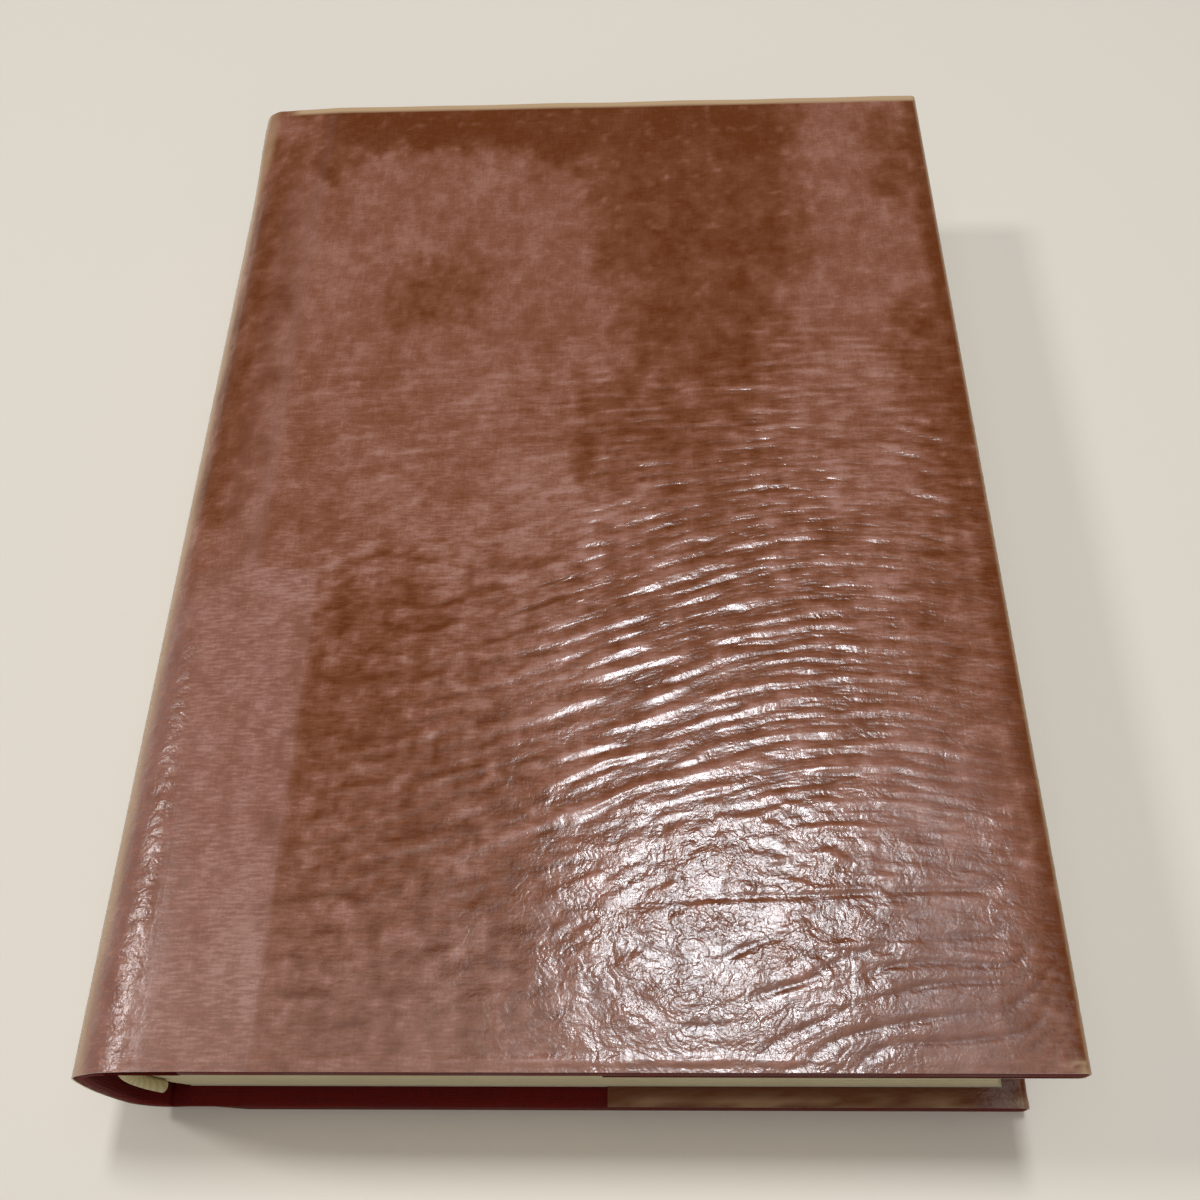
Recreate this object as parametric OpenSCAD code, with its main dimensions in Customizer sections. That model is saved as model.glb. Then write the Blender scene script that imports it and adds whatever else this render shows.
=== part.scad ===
// A case-bound hardback book in a glossy paper wrapper, lying on its back cover.
// X runs from the spine to the fore edge, Y from the tail to the head and Z up.
// The origin is on the ground, under the middle of the closed book.

/* [Pages] */
// Height of the trimmed pages, from tail to head
page_h = 188; // [150:1:250]
// Width of the trimmed pages, from the shoulder to the fore edge
page_w = 127; // [100:1:170]
// Thickness of all the pages pressed together
block_t = 26.3; // [16:0.1:45]
// How far the rounded back stands out behind the shoulders
back_rise = 5; // [2:0.1:7]
// How far the fore edge hollows in at its middle
fore_hollow = 2.8; // [0.5:0.1:5]
// Thickness of the endpapers
paper_t = 0.25; // [0.15:0.01:0.4]
// Thickness of the gauze glued over the back and under the pastedowns
gauze_t = 0.2; // [0.1:0.01:0.35]
// Distance from the head or the tail of the pages to the end of the gauze
gauze_inset = 13; // [13:0.5:25]
// Width of the gauze that is glued to each board
gauze_flange = 24; // [15:1:35]
// Thickness of the paper that lines the back
lining_t = 0.3; // [0.15:0.01:0.6]
// Diameter of the bead of the headband and of the tailband
band_d = 1.9; // [1:0.1:2.5]
// Length of the band's tape that is glued to the back
band_tape = 9; // [5:0.5:12]
// Half of the angle that each band covers on the rounded back
band_angle = 34.5; // [20:0.5:40]

/* [Case] */
// How far the cover stands past the pages at the head and the tail
square = 3; // [2.6:0.1:6]
// How far the cover stands past the pages at the fore edge
fore_square = 3.8; // [2:0.1:8]
// Thickness of the boards
board_t = 2.5; // [1.5:0.1:4]
// Rounding of the boards' edges
board_round = 0.4; // [0.2:0.05:0.6]
// Thickness of the cloth
cloth_t = 0.4; // [0.25:0.01:0.6]
// Width of the cloth turned in over the boards and over the spine's ends
turn_in = 15; // [12:0.5:16]
// Width of the slit where two turned-in flaps meet at a corner
mitre_w = 0.2; // [0.1:0.05:0.5]
// Thickness of the card that stiffens the spine
card_t = 0.9; // [0.5:0.05:1.5]
// Air between the lined back and the spine, when the book is closed
hollow = 2; // [1:0.1:5]
// Rounding of the spine's long edges
spine_round = 5.5; // [4:0.1:6.5]
// Radius of the slight bow across the spine
spine_bow = 60; // [40:1:200]
// How far the spine's long edges lie below the covers' outer faces
spine_drop = 2.3; // [1.5:0.1:2.7]
// Distance from the shoulder of the pages to the board
joint_w = 8.5; // [7.5:0.1:12]
// Width of the slope from the spine's edge down into the joint groove
slope_w = 3.5; // [2.5:0.1:4.5]
// Rounding at the foot of the groove, against the board
groove_round = 0.6; // [0.4:0.05:1]

/* [Wrapper] */
// Thickness of the wrapper
wrap_t = 0.2; // [0.1:0.01:0.3]
// How far the wrapper stands past the cover at the head
wrap_over = 1.4; // [0:0.1:3]
// Width of the wrapper's flaps, folded in at the fore edge
flap_w = 65; // [40:1:90]
// Flat width of groove that the lower side of the wrapper is pressed into
press_w = 3.5; // [2.5:0.1:5.5]

/* [Hinges] */
// Gap between the pages and the closed covers
rest_gap = 0.1; // [0.05:0.01:0.3]
// Gap in the cloth and the wrapper along each hinge line
hinge_gap = 0.3; // [0.2:0.01:0.6]
// Gap between the spine and the edge of a board that is folded right back
open_gap = 1.2; // [0.8:0.1:2]

/* [Hidden] */

// Heights are taken from the middle of the book's thickness, for the front half.
page_top = block_t / 2;
leaf_top = page_top + paper_t;
flap_in = leaf_top + rest_gap;
paste_in = flap_in + wrap_t;
turn_face = paste_in + paper_t;
board_in = turn_face + cloth_t;
board_out = board_in + board_t;
case_out = board_out + cloth_t;
book_top = case_out + wrap_t;

// Distances along X are taken from the outer face of the spine.
spine_x = wrap_t + cloth_t;
back_x = spine_x + card_t + cloth_t + hollow + lining_t + gauze_t;
shoulder_x = back_x + back_rise;
fore_x = shoulder_x + page_w;
case_fore_x = fore_x + fore_square;
board_fore_x = case_fore_x - cloth_t;
board_x = shoulder_x + joint_w;
book_w = case_fore_x + wrap_t;
hinge_x = (board_x - open_gap) / 2;
flap_x = book_w - flap_w;

// Half heights along Y.
page_y = page_h / 2;
case_y = page_y + square;
board_y = case_y - cloth_t;
recess_y = board_y - turn_in;
gauze_y = page_y - gauze_inset;
wrap_head_y = case_y + wrap_over;
mid_y = (wrap_head_y - case_y) / 2;

// The arcs of the pages' back and fore edge pass through the pages' corners.
back_r = (pow(page_top, 2) + pow(back_rise, 2)) / (2 * back_rise);
back_cx = back_x + back_r;
fore_r = (pow(page_top, 2) + pow(fore_hollow, 2)) / (2 * fore_hollow);
fore_cx = fore_x - fore_hollow + fore_r;
shoulder_angle = asin(page_top / back_r);
fore_angle = asin(page_top / fore_r);
back_steps = 32;
lining_trim = 4;

// The spine's section is a wide arc that runs into a small arc at each long edge.
edge_z = case_out - spine_drop;
bow_angle = asin((edge_z - spine_round) / (spine_bow - spine_round));
edge_cx = wrap_t + spine_bow - (spine_bow - spine_round) * cos(bow_angle);
edge_cz = edge_z - spine_round;

// The groove's cloth lies level with the face of the turned-in cloth.
groove_z = turn_face + cloth_t;
case_round = board_round + cloth_t;
lip_cx = board_x - cloth_t + case_round;
lip_cz = case_out - case_round;
groove_x = edge_cx + slope_w;
press_x = groove_x + press_w;

// The front of the wrapper runs straight from the spine's edge to the board's edge.
bridge_len = norm([lip_cx - edge_cx, lip_cz - edge_cz]);
bridge_angle = atan2(lip_cz - edge_cz, lip_cx - edge_cx)
    + acos((spine_round - case_round) / bridge_len);
// The lower side of the wrapper runs straight from the groove to the board's edge.
press_len = norm([lip_cx - press_x, lip_cz - groove_z]);
press_angle = atan2(lip_cz - groove_z, lip_cx - press_x) + acos(-case_round / press_len);

// Points on an arc, from one angle to another.
function arc(cx, cz, r, from, to, steps = 8) =
    [for (i = [0:steps]) let (t = from + (to - from) * i / steps)
        [cx + r * cos(t), cz + r * sin(t)]];

// The wide arc and the edge arc of the spine, d outside the cloth's outer face, up to
// where the front wrapper leaves the cloth.
function spine_edge(d) = concat(
    arc(wrap_t + spine_bow, 0, spine_bow + d, 180, 180 - bow_angle, 6),
    arc(edge_cx, edge_cz, spine_round + d, 180 - bow_angle, bridge_angle, 10)
);

// The same line, carried on to the top of the edge.
function spine_half(d) = concat(
    spine_edge(d),
    arc(edge_cx, edge_cz, spine_round + d, bridge_angle, 90, 3)
);

// A half cosine from the spine's edge down to the groove, moved d along its normal.
function slope(d, steps = 10) = [
    for (i = [1:steps])
        let (
            u = 180 * i / steps,
            fall = edge_z - groove_z,
            x = edge_cx + slope_w * i / steps,
            z = edge_z - fall * (1 - cos(u)) / 2,
            run = [slope_w, -fall * sin(u) * PI / 2],
            n = [-run[1], run[0]] / norm(run)
        )
        [x, z] + d * n
];

// The rounded back of the pages, from the lower shoulder to the upper one.
function back_line(r, trim = 0) = [
    for (i = [trim:back_steps - trim])
        let (t = 180 + shoulder_angle * (1 - 2 * i / back_steps))
        [back_cx + r * cos(t), r * sin(t)]
];

// Around the fore edge of a cover, d outside the cloth, down to an inner face.
function fore_lip(d, inner_z) = concat(
    arc(case_fore_x - case_round, case_out - case_round, case_round + d, 90, 0, 6),
    arc(case_fore_x - case_round, inner_z + case_round, case_round + d, 0, -90, 6)
);

// The cloth of a cover: down the slope, through the groove, over the board and back.
function cover_outline() = concat(
    [[edge_cx, edge_z]],
    slope(0),
    arc(board_x - cloth_t - groove_round, groove_z + groove_round, groove_round, -90, 0, 5),
    arc(lip_cx, lip_cz, case_round, 180, 90, 6),
    fore_lip(0, turn_face),
    turned(slope(-cloth_t)),
    [[edge_cx, edge_z - cloth_t]]
);

// The front wrapper's line over the groove, around the fore edge and into the flap.
function bridge_half(d) = concat(
    spine_edge(d),
    arc(lip_cx, lip_cz, case_round + d, bridge_angle, 90, 3)
);

function press_half(d) = concat(
    spine_half(d),
    slope(d),
    [[press_x, groove_z] + d / cos((press_angle - 90) / 2)
        * [cos((press_angle + 90) / 2), sin((press_angle + 90) / 2)]],
    arc(lip_cx, lip_cz, case_round + d, press_angle, 90, 3)
);

function fore_fold(d) = concat(fore_lip(d, paste_in), [[flap_x, paste_in - d]]);

function turned(points) = [for (i = [len(points) - 1:-1:0]) points[i]];
function flipped(points) = [for (p = points) [p[0], -p[1]]];
function whole(upper, lower) = concat(turned(flipped(lower)), upper);

// Stands the section up along Y, between two heights.
module along_y(from, to) {
    translate([0, to, 0]) rotate([90, 0, 0]) linear_extrude(to - from) children();
}

// The area between two lines of points.
module strip(inner, outer) {
    polygon(concat(inner, turned(outer)));
}

// Puts a piece, drawn about the middle of the thickness, where it lies in the book.
module placed() {
    translate([-book_w / 2, -mid_y, book_top]) children();
}

module lower_placed() {
    placed() mirror([0, 0, 1]) children();
}

// Stands a section in Y and Z up along X, between two distances.
module along_x(from, to) {
    translate([from, 0, 0]) rotate([90, 0, 90]) linear_extrude(to - from) children();
}

module block_box(x0, x1, half_y, z0, z1) {
    translate([x0, -half_y, z0]) cube([x1 - x0, 2 * half_y, z1 - z0]);
}

// Keeps what lies on one side of the hinge line.
module spine_side() {
    intersection() {
        children();
        translate([-book_w, -book_w]) square([book_w + hinge_x - hinge_gap / 2, 2 * book_w]);
    }
}

module cover_side() {
    intersection() {
        children();
        translate([hinge_x + hinge_gap / 2, -book_w]) square(2 * book_w);
    }
}

// The pages, sewn, rounded and trimmed.
module pages() {
    color("#d8cfae") placed() along_y(-page_y, page_y) polygon(concat(
        back_line(back_r),
        arc(fore_cx, 0, fore_r, 180 - fore_angle, 180 + fore_angle, 20)
    ));
}

module flyleaf() {
    block_box(shoulder_x, fore_x, page_y, page_top, leaf_top);
}

module gauze_on_back() {
    color("#cfc8b4") placed() along_y(-gauze_y, gauze_y)
        strip(back_line(back_r), back_line(back_r + gauze_t));
}

module lining_on_back() {
    color("#b9aa86") placed() along_y(band_tape - page_y, page_y - band_tape) strip(
        back_line(back_r + gauze_t, lining_trim),
        back_line(back_r + gauze_t + lining_t, lining_trim)
    );
}

// A bead over the end of the back, with its tape glued down the back.
module band() {
    translate([back_cx, 0, 0]) rotate([90, 0, 0]) rotate([0, 0, 180 - band_angle])
        rotate_extrude(angle = 2 * band_angle, $fn = 240) {
            translate([back_r + gauze_t - band_d / 2, page_y + band_d / 2]) circle(d = band_d, $fn = 32);
            translate([back_r, page_y - band_tape]) square([gauze_t, band_tape + band_d / 2]);
        }
}

module spine_stiffener() {
    color("#8d7f68") placed() along_y(-board_y, board_y) strip(
        whole(spine_half(-cloth_t - card_t), spine_half(-cloth_t - card_t)),
        whole(spine_half(-cloth_t), spine_half(-cloth_t))
    );
}

// The cloth over the spine, turned in over the card at both ends.
module cloth_on_spine() {
    deep = spine_half(-2 * cloth_t - card_t);
    under = spine_half(-cloth_t - card_t);
    under_half = spine_half(-cloth_t);
    face = spine_half(0);
    color("#7c1512") placed() {
        along_y(-case_y, case_y) spine_side() strip(
            whole(concat(under_half, slope(-cloth_t)), concat(under_half, slope(-cloth_t))),
            whole(concat(face, slope(0)), concat(face, slope(0)))
        );
        for (side = [-1, 1]) scale([1, side, 1]) {
            along_y(board_y, case_y) strip(whole(deep, deep), whole(face, face));
            along_y(board_y - turn_in, case_y) strip(whole(deep, deep), whole(under, under));
        }
    }
}

module wrapper_on_spine() {
    color("#8a5a48") placed() along_y(-case_y, wrap_head_y) spine_side()
        strip(whole(bridge_half(0), press_half(0)), whole(bridge_half(wrap_t), press_half(wrap_t)));
}

// The outer edges of the board are eased, and the inner ones are square.
module board() {
    intersection() {
        along_y(-board_y, board_y) polygon(concat(
            [[board_x, board_in]],
            arc(board_x + board_round, board_out - board_round, board_round, 180, 90, 6),
            arc(board_fore_x - board_round, board_out - board_round, board_round, 90, 0, 6),
            [[board_fore_x, board_in]]
        ));
        along_x(board_x, board_fore_x) polygon(concat(
            [[-board_y, board_in]],
            arc(board_round - board_y, board_out - board_round, board_round, 180, 90, 6),
            arc(board_y - board_round, board_out - board_round, board_round, 90, 0, 6),
            [[board_y, board_in]]
        ));
    }
}

// The cloth over a board: the outer skin, the turned-in flaps and the groove.
module cover_cloth() {
    difference() {
        intersection() {
            along_y(-case_y, case_y) cover_side() polygon(cover_outline());
            along_x(0, book_w) polygon(concat(
                arc(case_round - case_y, case_out - case_round, case_round, 180, 90, 6),
                arc(case_y - case_round, case_out - case_round, case_round, 90, 0, 6),
                arc(case_y - case_round, turn_face + case_round, case_round, 0, -90, 6),
                arc(case_round - case_y, turn_face + case_round, case_round, 270, 180, 6)
            ));
        }
        board();
        block_box(board_x, board_fore_x - turn_in, recess_y, turn_face - 1, board_in);
        for (side = [-1, 1]) translate([board_fore_x - turn_in, side * recess_y, turn_face])
            rotate([0, 0, side * 45]) translate([-mitre_w, -mitre_w / 2, -cloth_t / 2])
                cube([2 * turn_in, mitre_w, cloth_t]);
    }
}

// The gauze crosses the groove and steps up to the board's inner face.
module cover_gauze() {
    along_y(-gauze_y, gauze_y) polygon([
        [shoulder_x + hinge_gap, turn_face - gauze_t],
        [board_x + gauze_t, turn_face - gauze_t],
        [board_x + gauze_t, board_in - gauze_t],
        [board_x + gauze_flange, board_in - gauze_t],
        [board_x + gauze_flange, board_in],
        [board_x, board_in],
        [board_x, turn_face],
        [shoulder_x + hinge_gap, turn_face]
    ]);
}

// The pastedown dips between the turned-in flaps and lies over the gauze.
module pastedown() {
    start_x = board_x + gauze_t;
    difference() {
        block_box(start_x, fore_x, page_y, paste_in, board_in);
        cover_turn_ins();
        block_box(start_x - 1, board_x + gauze_flange, gauze_y, board_in - gauze_t, board_in + 1);
        block_box(start_x + paper_t, board_fore_x - turn_in - paper_t, recess_y - paper_t,
            paste_in - 1, board_in - gauze_t - paper_t);
        block_box(board_x + gauze_flange + paper_t, board_fore_x - turn_in - paper_t,
            recess_y - paper_t, paste_in - 1, board_in - paper_t);
    }
    block_box(shoulder_x + hinge_gap, start_x + paper_t, page_y,
        paste_in - gauze_t, paste_in - gauze_t + paper_t);
    block_box(start_x, start_x + paper_t, page_y, paste_in - gauze_t, paste_in + paper_t);
}

module cover_turn_ins() {
    difference() {
        block_box(0, book_w, case_y, turn_face, board_in + 1);
        block_box(-1, board_fore_x - turn_in, recess_y, turn_face - 1, board_in + 2);
    }
}

module wrapper_front_sheet() {
    along_y(-case_y, wrap_head_y) cover_side() strip(
        concat(bridge_half(0), fore_fold(0)),
        concat(bridge_half(wrap_t), fore_fold(wrap_t))
    );
}

module wrapper_lower_sheet() {
    along_y(-case_y, wrap_head_y) cover_side() strip(
        concat(press_half(0), fore_fold(0)),
        concat(press_half(wrap_t), fore_fold(wrap_t))
    );
}

pages();  // text_block
color("#d9d1b4") placed() flyleaf();  // front_flyleaf
color("#d9d1b4") lower_placed() flyleaf();  // back_flyleaf
gauze_on_back();  // back_gauze
lining_on_back();  // back_lining
color("#cfc5a0") placed() mirror([0, 1, 0]) band();  // headband
color("#cfc5a0") placed() band();  // tailband
spine_stiffener();  // spine_card
cloth_on_spine();  // spine_cloth
wrapper_on_spine();  // wrapper_spine
color("#8f8577") placed() board();  // front_board
color("#7c1512") placed() cover_cloth();  // front_cloth
color("#cfc8b4") placed() cover_gauze();  // front_gauze
color("#d9d1b4") placed() pastedown();  // front_pastedown
color("#8a5a48") placed() wrapper_front_sheet();  // wrapper_front
color("#8f8577") lower_placed() board();  // lower_board
color("#7c1512") lower_placed() cover_cloth();  // lower_cloth
color("#cfc8b4") lower_placed() cover_gauze();  // lower_gauze
color("#d9d1b4") lower_placed() pastedown();  // lower_pastedown
color("#8a5a48") lower_placed() wrapper_lower_sheet();  // wrapper_lower
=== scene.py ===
# %% [markdown]
# A hardback book in a glassine wrapper
#
# The book lies on its back cover, with the spine on the left and the tail towards the camera. Under its
# wrapper it is an ordinary case binding: boards covered in dark red cloth, a rounded text block and a hollow
# spine. The wrapper is glassine, a thin tan paper that is glossy and lets the cloth show through. Where it
# lies on the cloth the cover looks brown, and where it has lifted off it looks pale and mauve. Damp has
# rippled and creased it, and most of the look comes from those ripples.
#
# The solids of the book come from the frame. This script gives the plain ones their materials. It builds new
# surfaces for the sheets that bend at the hinges, which are the wrapper, the cloth and the endpapers, and for
# the pages and the two bands.

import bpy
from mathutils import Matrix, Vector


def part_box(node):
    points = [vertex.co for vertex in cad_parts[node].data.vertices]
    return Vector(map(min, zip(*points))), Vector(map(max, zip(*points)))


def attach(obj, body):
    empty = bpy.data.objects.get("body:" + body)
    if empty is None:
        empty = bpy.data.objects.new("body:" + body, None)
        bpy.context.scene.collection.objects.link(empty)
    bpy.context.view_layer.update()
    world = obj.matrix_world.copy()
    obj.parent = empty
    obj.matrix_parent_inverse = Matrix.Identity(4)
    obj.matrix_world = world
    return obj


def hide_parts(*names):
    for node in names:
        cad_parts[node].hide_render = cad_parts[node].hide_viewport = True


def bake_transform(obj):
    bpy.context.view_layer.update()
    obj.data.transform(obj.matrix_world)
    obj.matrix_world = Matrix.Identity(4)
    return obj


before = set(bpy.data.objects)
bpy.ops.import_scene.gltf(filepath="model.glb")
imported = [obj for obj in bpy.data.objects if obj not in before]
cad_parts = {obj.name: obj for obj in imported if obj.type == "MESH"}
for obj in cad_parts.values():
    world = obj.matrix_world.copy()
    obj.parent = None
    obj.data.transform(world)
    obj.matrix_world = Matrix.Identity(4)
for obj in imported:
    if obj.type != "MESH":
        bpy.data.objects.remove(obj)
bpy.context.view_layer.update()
print("nodes in the frame:", len(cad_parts))

# %% Libraries
import math

import bpy
import numpy as np
from mathutils import Matrix

# %% [markdown]
# Sizes
#
# Thin sheets are easiest to draw as one section of the book that is carried along its length. The section is
# worked out in millimetres: x runs from the outer face of the spine to the fore edge, and the height is
# taken from the middle of the book's thickness, so that one line serves the front half and, turned over,
# the back half. Most sizes are read from the frame. The few that a box can't give, such as the radius of
# the spine's bow, are named here.

# %% Sizes from the frame
MM = 0.001


def box_mm(node):
    """Lowest and highest corner of a node, in millimetres."""
    low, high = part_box(node)
    return np.array(low) / MM, np.array(high) / MM


spine_face = box_mm("wrapper_spine")[0][0]
front_lo, front_hi = box_mm("wrapper_front")
case_lo, case_hi = box_mm("front_cloth")
board_lo, board_hi = box_mm("front_board")
page_lo, page_hi = box_mm("text_block")
leaf_lo, leaf_hi = box_mm("front_flyleaf")
gauze_lo, gauze_hi = box_mm("front_gauze")

book_top = front_hi[2]
mid_z = book_top / 2
tail_y, head_y = case_lo[1], case_hi[1]
wrap_tail_y, wrap_head_y = front_lo[1], front_hi[1]
wrap_t = book_top - case_hi[2]
cloth_t = case_hi[2] - board_hi[2]
paper_t = leaf_hi[2] - leaf_lo[2]
print("book", np.round(front_hi[0] - spine_face, 2), "x", np.round(wrap_head_y - wrap_tail_y, 2),
      "x", np.round(book_top, 2), "mm")

# %% Sizes that repeat the part's own
spine_bow, spine_round, spine_drop = 60.0, 5.5, 2.3
slope_w, press_w = 3.5, 3.5
board_round, groove_round = 0.4, 0.6
flap_w = 65.0
card_t, gauze_t = 0.9, 0.2
turn_in = 15.0

# %% [markdown]
# The section
#
# Each sheet follows the one under it at a constant distance, so every line is an offset of the cloth's outer
# face. The spine is a wide arc that runs into a small arc at each long edge. From there the wrapper goes
# straight to the board's rounded edge. At the back of the book it is pressed into the joint groove first.

# %% Heights and angles of the section
case_out = case_hi[2] - mid_z
turn_face = case_lo[2] - mid_z
groove_z = turn_face + cloth_t
page_top = page_hi[2] - mid_z
flap_in = front_lo[2] - mid_z + wrap_t

sx_board = board_lo[0] - spine_face
sx_case_fore = case_hi[0] - spine_face
sx_shoulder = leaf_lo[0] - spine_face
sx_flap = front_hi[0] - spine_face - flap_w

edge_z = case_out - spine_drop
bow_angle = math.degrees(math.asin((edge_z - spine_round) / (spine_bow - spine_round)))
edge_cx = wrap_t + spine_bow - (spine_bow - spine_round) * math.cos(math.radians(bow_angle))
edge_cz = edge_z - spine_round
case_round = board_round + cloth_t
lip_cx = sx_board - cloth_t + case_round
lip_cz = case_out - case_round
press_x = edge_cx + slope_w + press_w


def tangent_angle(x0, z0, r0, x1, z1, r1):
    """Direction, in degrees, of the shared outer normal of two circles that one straight line touches."""
    length = math.hypot(x1 - x0, z1 - z0)
    return math.degrees(math.atan2(z1 - z0, x1 - x0) + math.acos((r0 - r1) / length))


bridge_angle = tangent_angle(edge_cx, edge_cz, spine_round, lip_cx, lip_cz, case_round)
press_angle = tangent_angle(press_x, groove_z, 0, lip_cx, lip_cz, case_round)
print("spine edge leaves at", round(bridge_angle, 1), "degrees, groove at", round(press_angle, 1))

# %% Lines of the section


def arc(cx, cz, radius, start, end, count):
    """Centre plus radius times (cos, sin) of count angles from start to end, in degrees."""
    angle = np.radians(np.linspace(start, end, count))
    return np.column_stack([cx + radius * np.cos(angle), cz + radius * np.sin(angle)])


def joined(*parts, spacing):
    """The parts end to end, with straight stretches filled in at the spacing and no point twice."""
    line = np.vstack([np.atleast_2d(p) for p in parts])
    step = np.linalg.norm(np.diff(line, axis=0), axis=1)
    line = line[np.concatenate([[True], step > 1e-6])]
    along = lengths(line)
    at = [np.linspace(a, b, max(2, int(round((b - a) / spacing)) + 1))[:-1]
          for a, b in zip(along[:-1], along[1:])]
    at = np.concatenate(at + [along[-1:]])
    return np.column_stack([np.interp(at, along, line[:, k]) for k in range(2)])


def spine_line(d, last_angle, count=22):
    """The bowed spine from its middle to the long edge, d outside the cloth's outer face."""
    return np.vstack([
        arc(wrap_t + spine_bow, 0, spine_bow + d, 180, 180 - bow_angle, 10),
        arc(edge_cx, edge_cz, spine_round + d, 180 - bow_angle, last_angle, count),
    ])


def slope_line(d, count=14):
    """A half cosine from the spine's edge down to the groove, moved d along its normal."""
    share = np.linspace(0, 1, count)[1:]
    fall = edge_z - groove_z
    x = edge_cx + slope_w * share
    z = edge_z - fall * (1 - np.cos(np.pi * share)) / 2
    run = np.column_stack([np.full_like(share, slope_w), -fall * np.pi / 2 * np.sin(np.pi * share)])
    normal = np.column_stack([-run[:, 1], run[:, 0]]) / np.linalg.norm(run, axis=1)[:, None]
    return np.column_stack([x, z]) + d * normal


def fore_line(d, inner_z):
    """Around the fore edge of a cover, d outside the cloth, down to an inner face."""
    cx = sx_case_fore - case_round
    return np.vstack([
        arc(cx, case_out - case_round, case_round + d, 90, 0, 8),
        arc(cx, inner_z + case_round, case_round + d, 0, -90, 8),
    ])


def wrapper_line(start, lip_angle, d, fine, coarse):
    """Half of the wrapper, d outside the cloth: its start, board, fore edge and flap."""
    fore = fore_line(d, flap_in)
    lip = arc(lip_cx, lip_cz, case_round + d, lip_angle, 90, 5)
    outside = joined(*start, lip, fore[:8], spacing=fine)
    inside = joined(fore[7:], [sx_flap, flap_in - d], spacing=coarse)
    return np.vstack([outside, inside[1:]])


def front_wrapper_line(d, fine, coarse):
    """The front half of the wrapper, with a straight bridge over the groove."""
    return wrapper_line([spine_line(d, bridge_angle)], bridge_angle, d, fine, coarse)


def back_wrapper_line(d, fine, coarse):
    """The back half of the wrapper, pressed into the joint groove."""
    kink = math.radians((press_angle + 90) / 2)
    reach = d / math.cos(math.radians((press_angle - 90) / 2))
    pressed = [press_x + reach * math.cos(kink), groove_z + reach * math.sin(kink)]
    return wrapper_line([spine_line(d, 90), slope_line(d), pressed], press_angle, d, fine, coarse)


def level_line(x, z):
    """Points at one height."""
    return np.column_stack([x, np.full(len(x), z)])


def lengths(line):
    """Distance of each point of a line from its start, along the line."""
    return np.concatenate([[0], np.cumsum(np.linalg.norm(np.diff(line, axis=0), axis=1))])


line = front_wrapper_line(wrap_t, 0.62, 3.0)
print("front wrapper line:", len(line), "points, ends at", np.round(line[-1], 2))

# %% [markdown]
# Noise
#
# Ripples and stains need smooth irregular variation. Gradient noise gives it: a random slope sits at every
# corner of a square lattice, and the value between corners is blended from the four slopes around it. With
# a fixed seed it is the same at every run. Scaling x and y apart stretches the lattice, which turns round
# bumps into long ripples.

# %% Noise worked out as whole arrays
LATTICE = 256


def smooth(t):
    """0 below 0, 1 above 1 and 3t^2 - 2t^3 between."""
    t = np.clip(t, 0, 1)
    return t * t * (3 - 2 * t)


def ramp(value, start, end):
    """Smooth step of value from start to end, in either direction."""
    return smooth((value - start) / (end - start))


def noise(x, y, seed):
    """Gradient noise, about -0.7 to 0.7, with one lattice cell to a unit."""
    slopes = np.random.default_rng(seed).normal(size=(LATTICE, LATTICE, 2))
    slopes /= np.linalg.norm(slopes, axis=2, keepdims=True)
    ix, iy = np.floor(x).astype(int), np.floor(y).astype(int)
    fx, fy = x - ix, y - iy
    ux, uy = fx**3 * (fx * (fx * 6 - 15) + 10), fy**3 * (fy * (fy * 6 - 15) + 10)
    total = np.zeros(np.broadcast(x, y).shape)
    for dx in (0, 1):
        for dy in (0, 1):
            slope = slopes[(ix + dx) % LATTICE, (iy + dy) % LATTICE]
            corner = slope[..., 0] * (fx - dx) + slope[..., 1] * (fy - dy)
            total += corner * np.where(dx, ux, 1 - ux) * np.where(dy, uy, 1 - uy)
    return total


def cloudy(x, y, seed, octaves=3, keep=0.5):
    """Noise with ever finer copies of itself added, each keep times as strong as the one before."""
    return sum(noise(x * 2**k, y * 2**k, seed + k) * keep**k for k in range(octaves))


def creases(x, y, seed):
    """Sharp ridges where the noise passes through zero: 1 on a ridge, falling to 0 beside it."""
    return 1 - np.clip(np.abs(noise(x, y, seed)) * 3.2, 0, 1)


def waves(phase, front=0.2, back=0.3):
    """A row of ridges, one to each whole phase: e to the minus square, steeper on the front side."""
    offset = phase - np.round(phase)
    return np.exp(-((offset / np.where(offset < 0, front, back)) ** 2))


def patch(x, y, x0, x1, y0, y1, edge):
    """1 inside a rectangle and 0 outside, with soft edges of the given width."""
    return (ramp(x, x0 - edge, x0 + edge) * ramp(x, x1 + edge, x1 - edge)
            * ramp(y, y0 - edge, y0 + edge) * ramp(y, y1 + edge, y1 - edge))


def patches(x, y, *parts):
    """The sum of soft rectangles, each given as its strength and what patch takes."""
    return sum(strength * patch(x, y, *place) for strength, *place in parts)


# %% [markdown]
# From arrays to meshes
#
# A sheet is a grid of points. Its outer side is fine, because it carries the ripples, and its inner side is
# coarse, because nobody sees it. The two are closed along their border by a strip of triangles that joins
# each fine point to the nearest coarse one, so the sheet is a closed, thin solid.

# %% Building a mesh


def grid_faces(rows, cols, first=0, turned=False):
    """Quads of a grid of rows times cols points that are numbered row by row from first."""
    number = first + np.arange(rows * cols).reshape(rows, cols)
    quads = np.stack([number[:-1, :-1], number[:-1, 1:], number[1:, 1:], number[1:, :-1]], axis=-1)
    quads = quads.reshape(-1, 4)
    return quads[:, ::-1] if turned else quads


def strip_faces(near, far):
    """Quads between two equally long rows of points."""
    return np.stack([near[1:], near[:-1], far[:-1], far[1:]], axis=-1)


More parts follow.
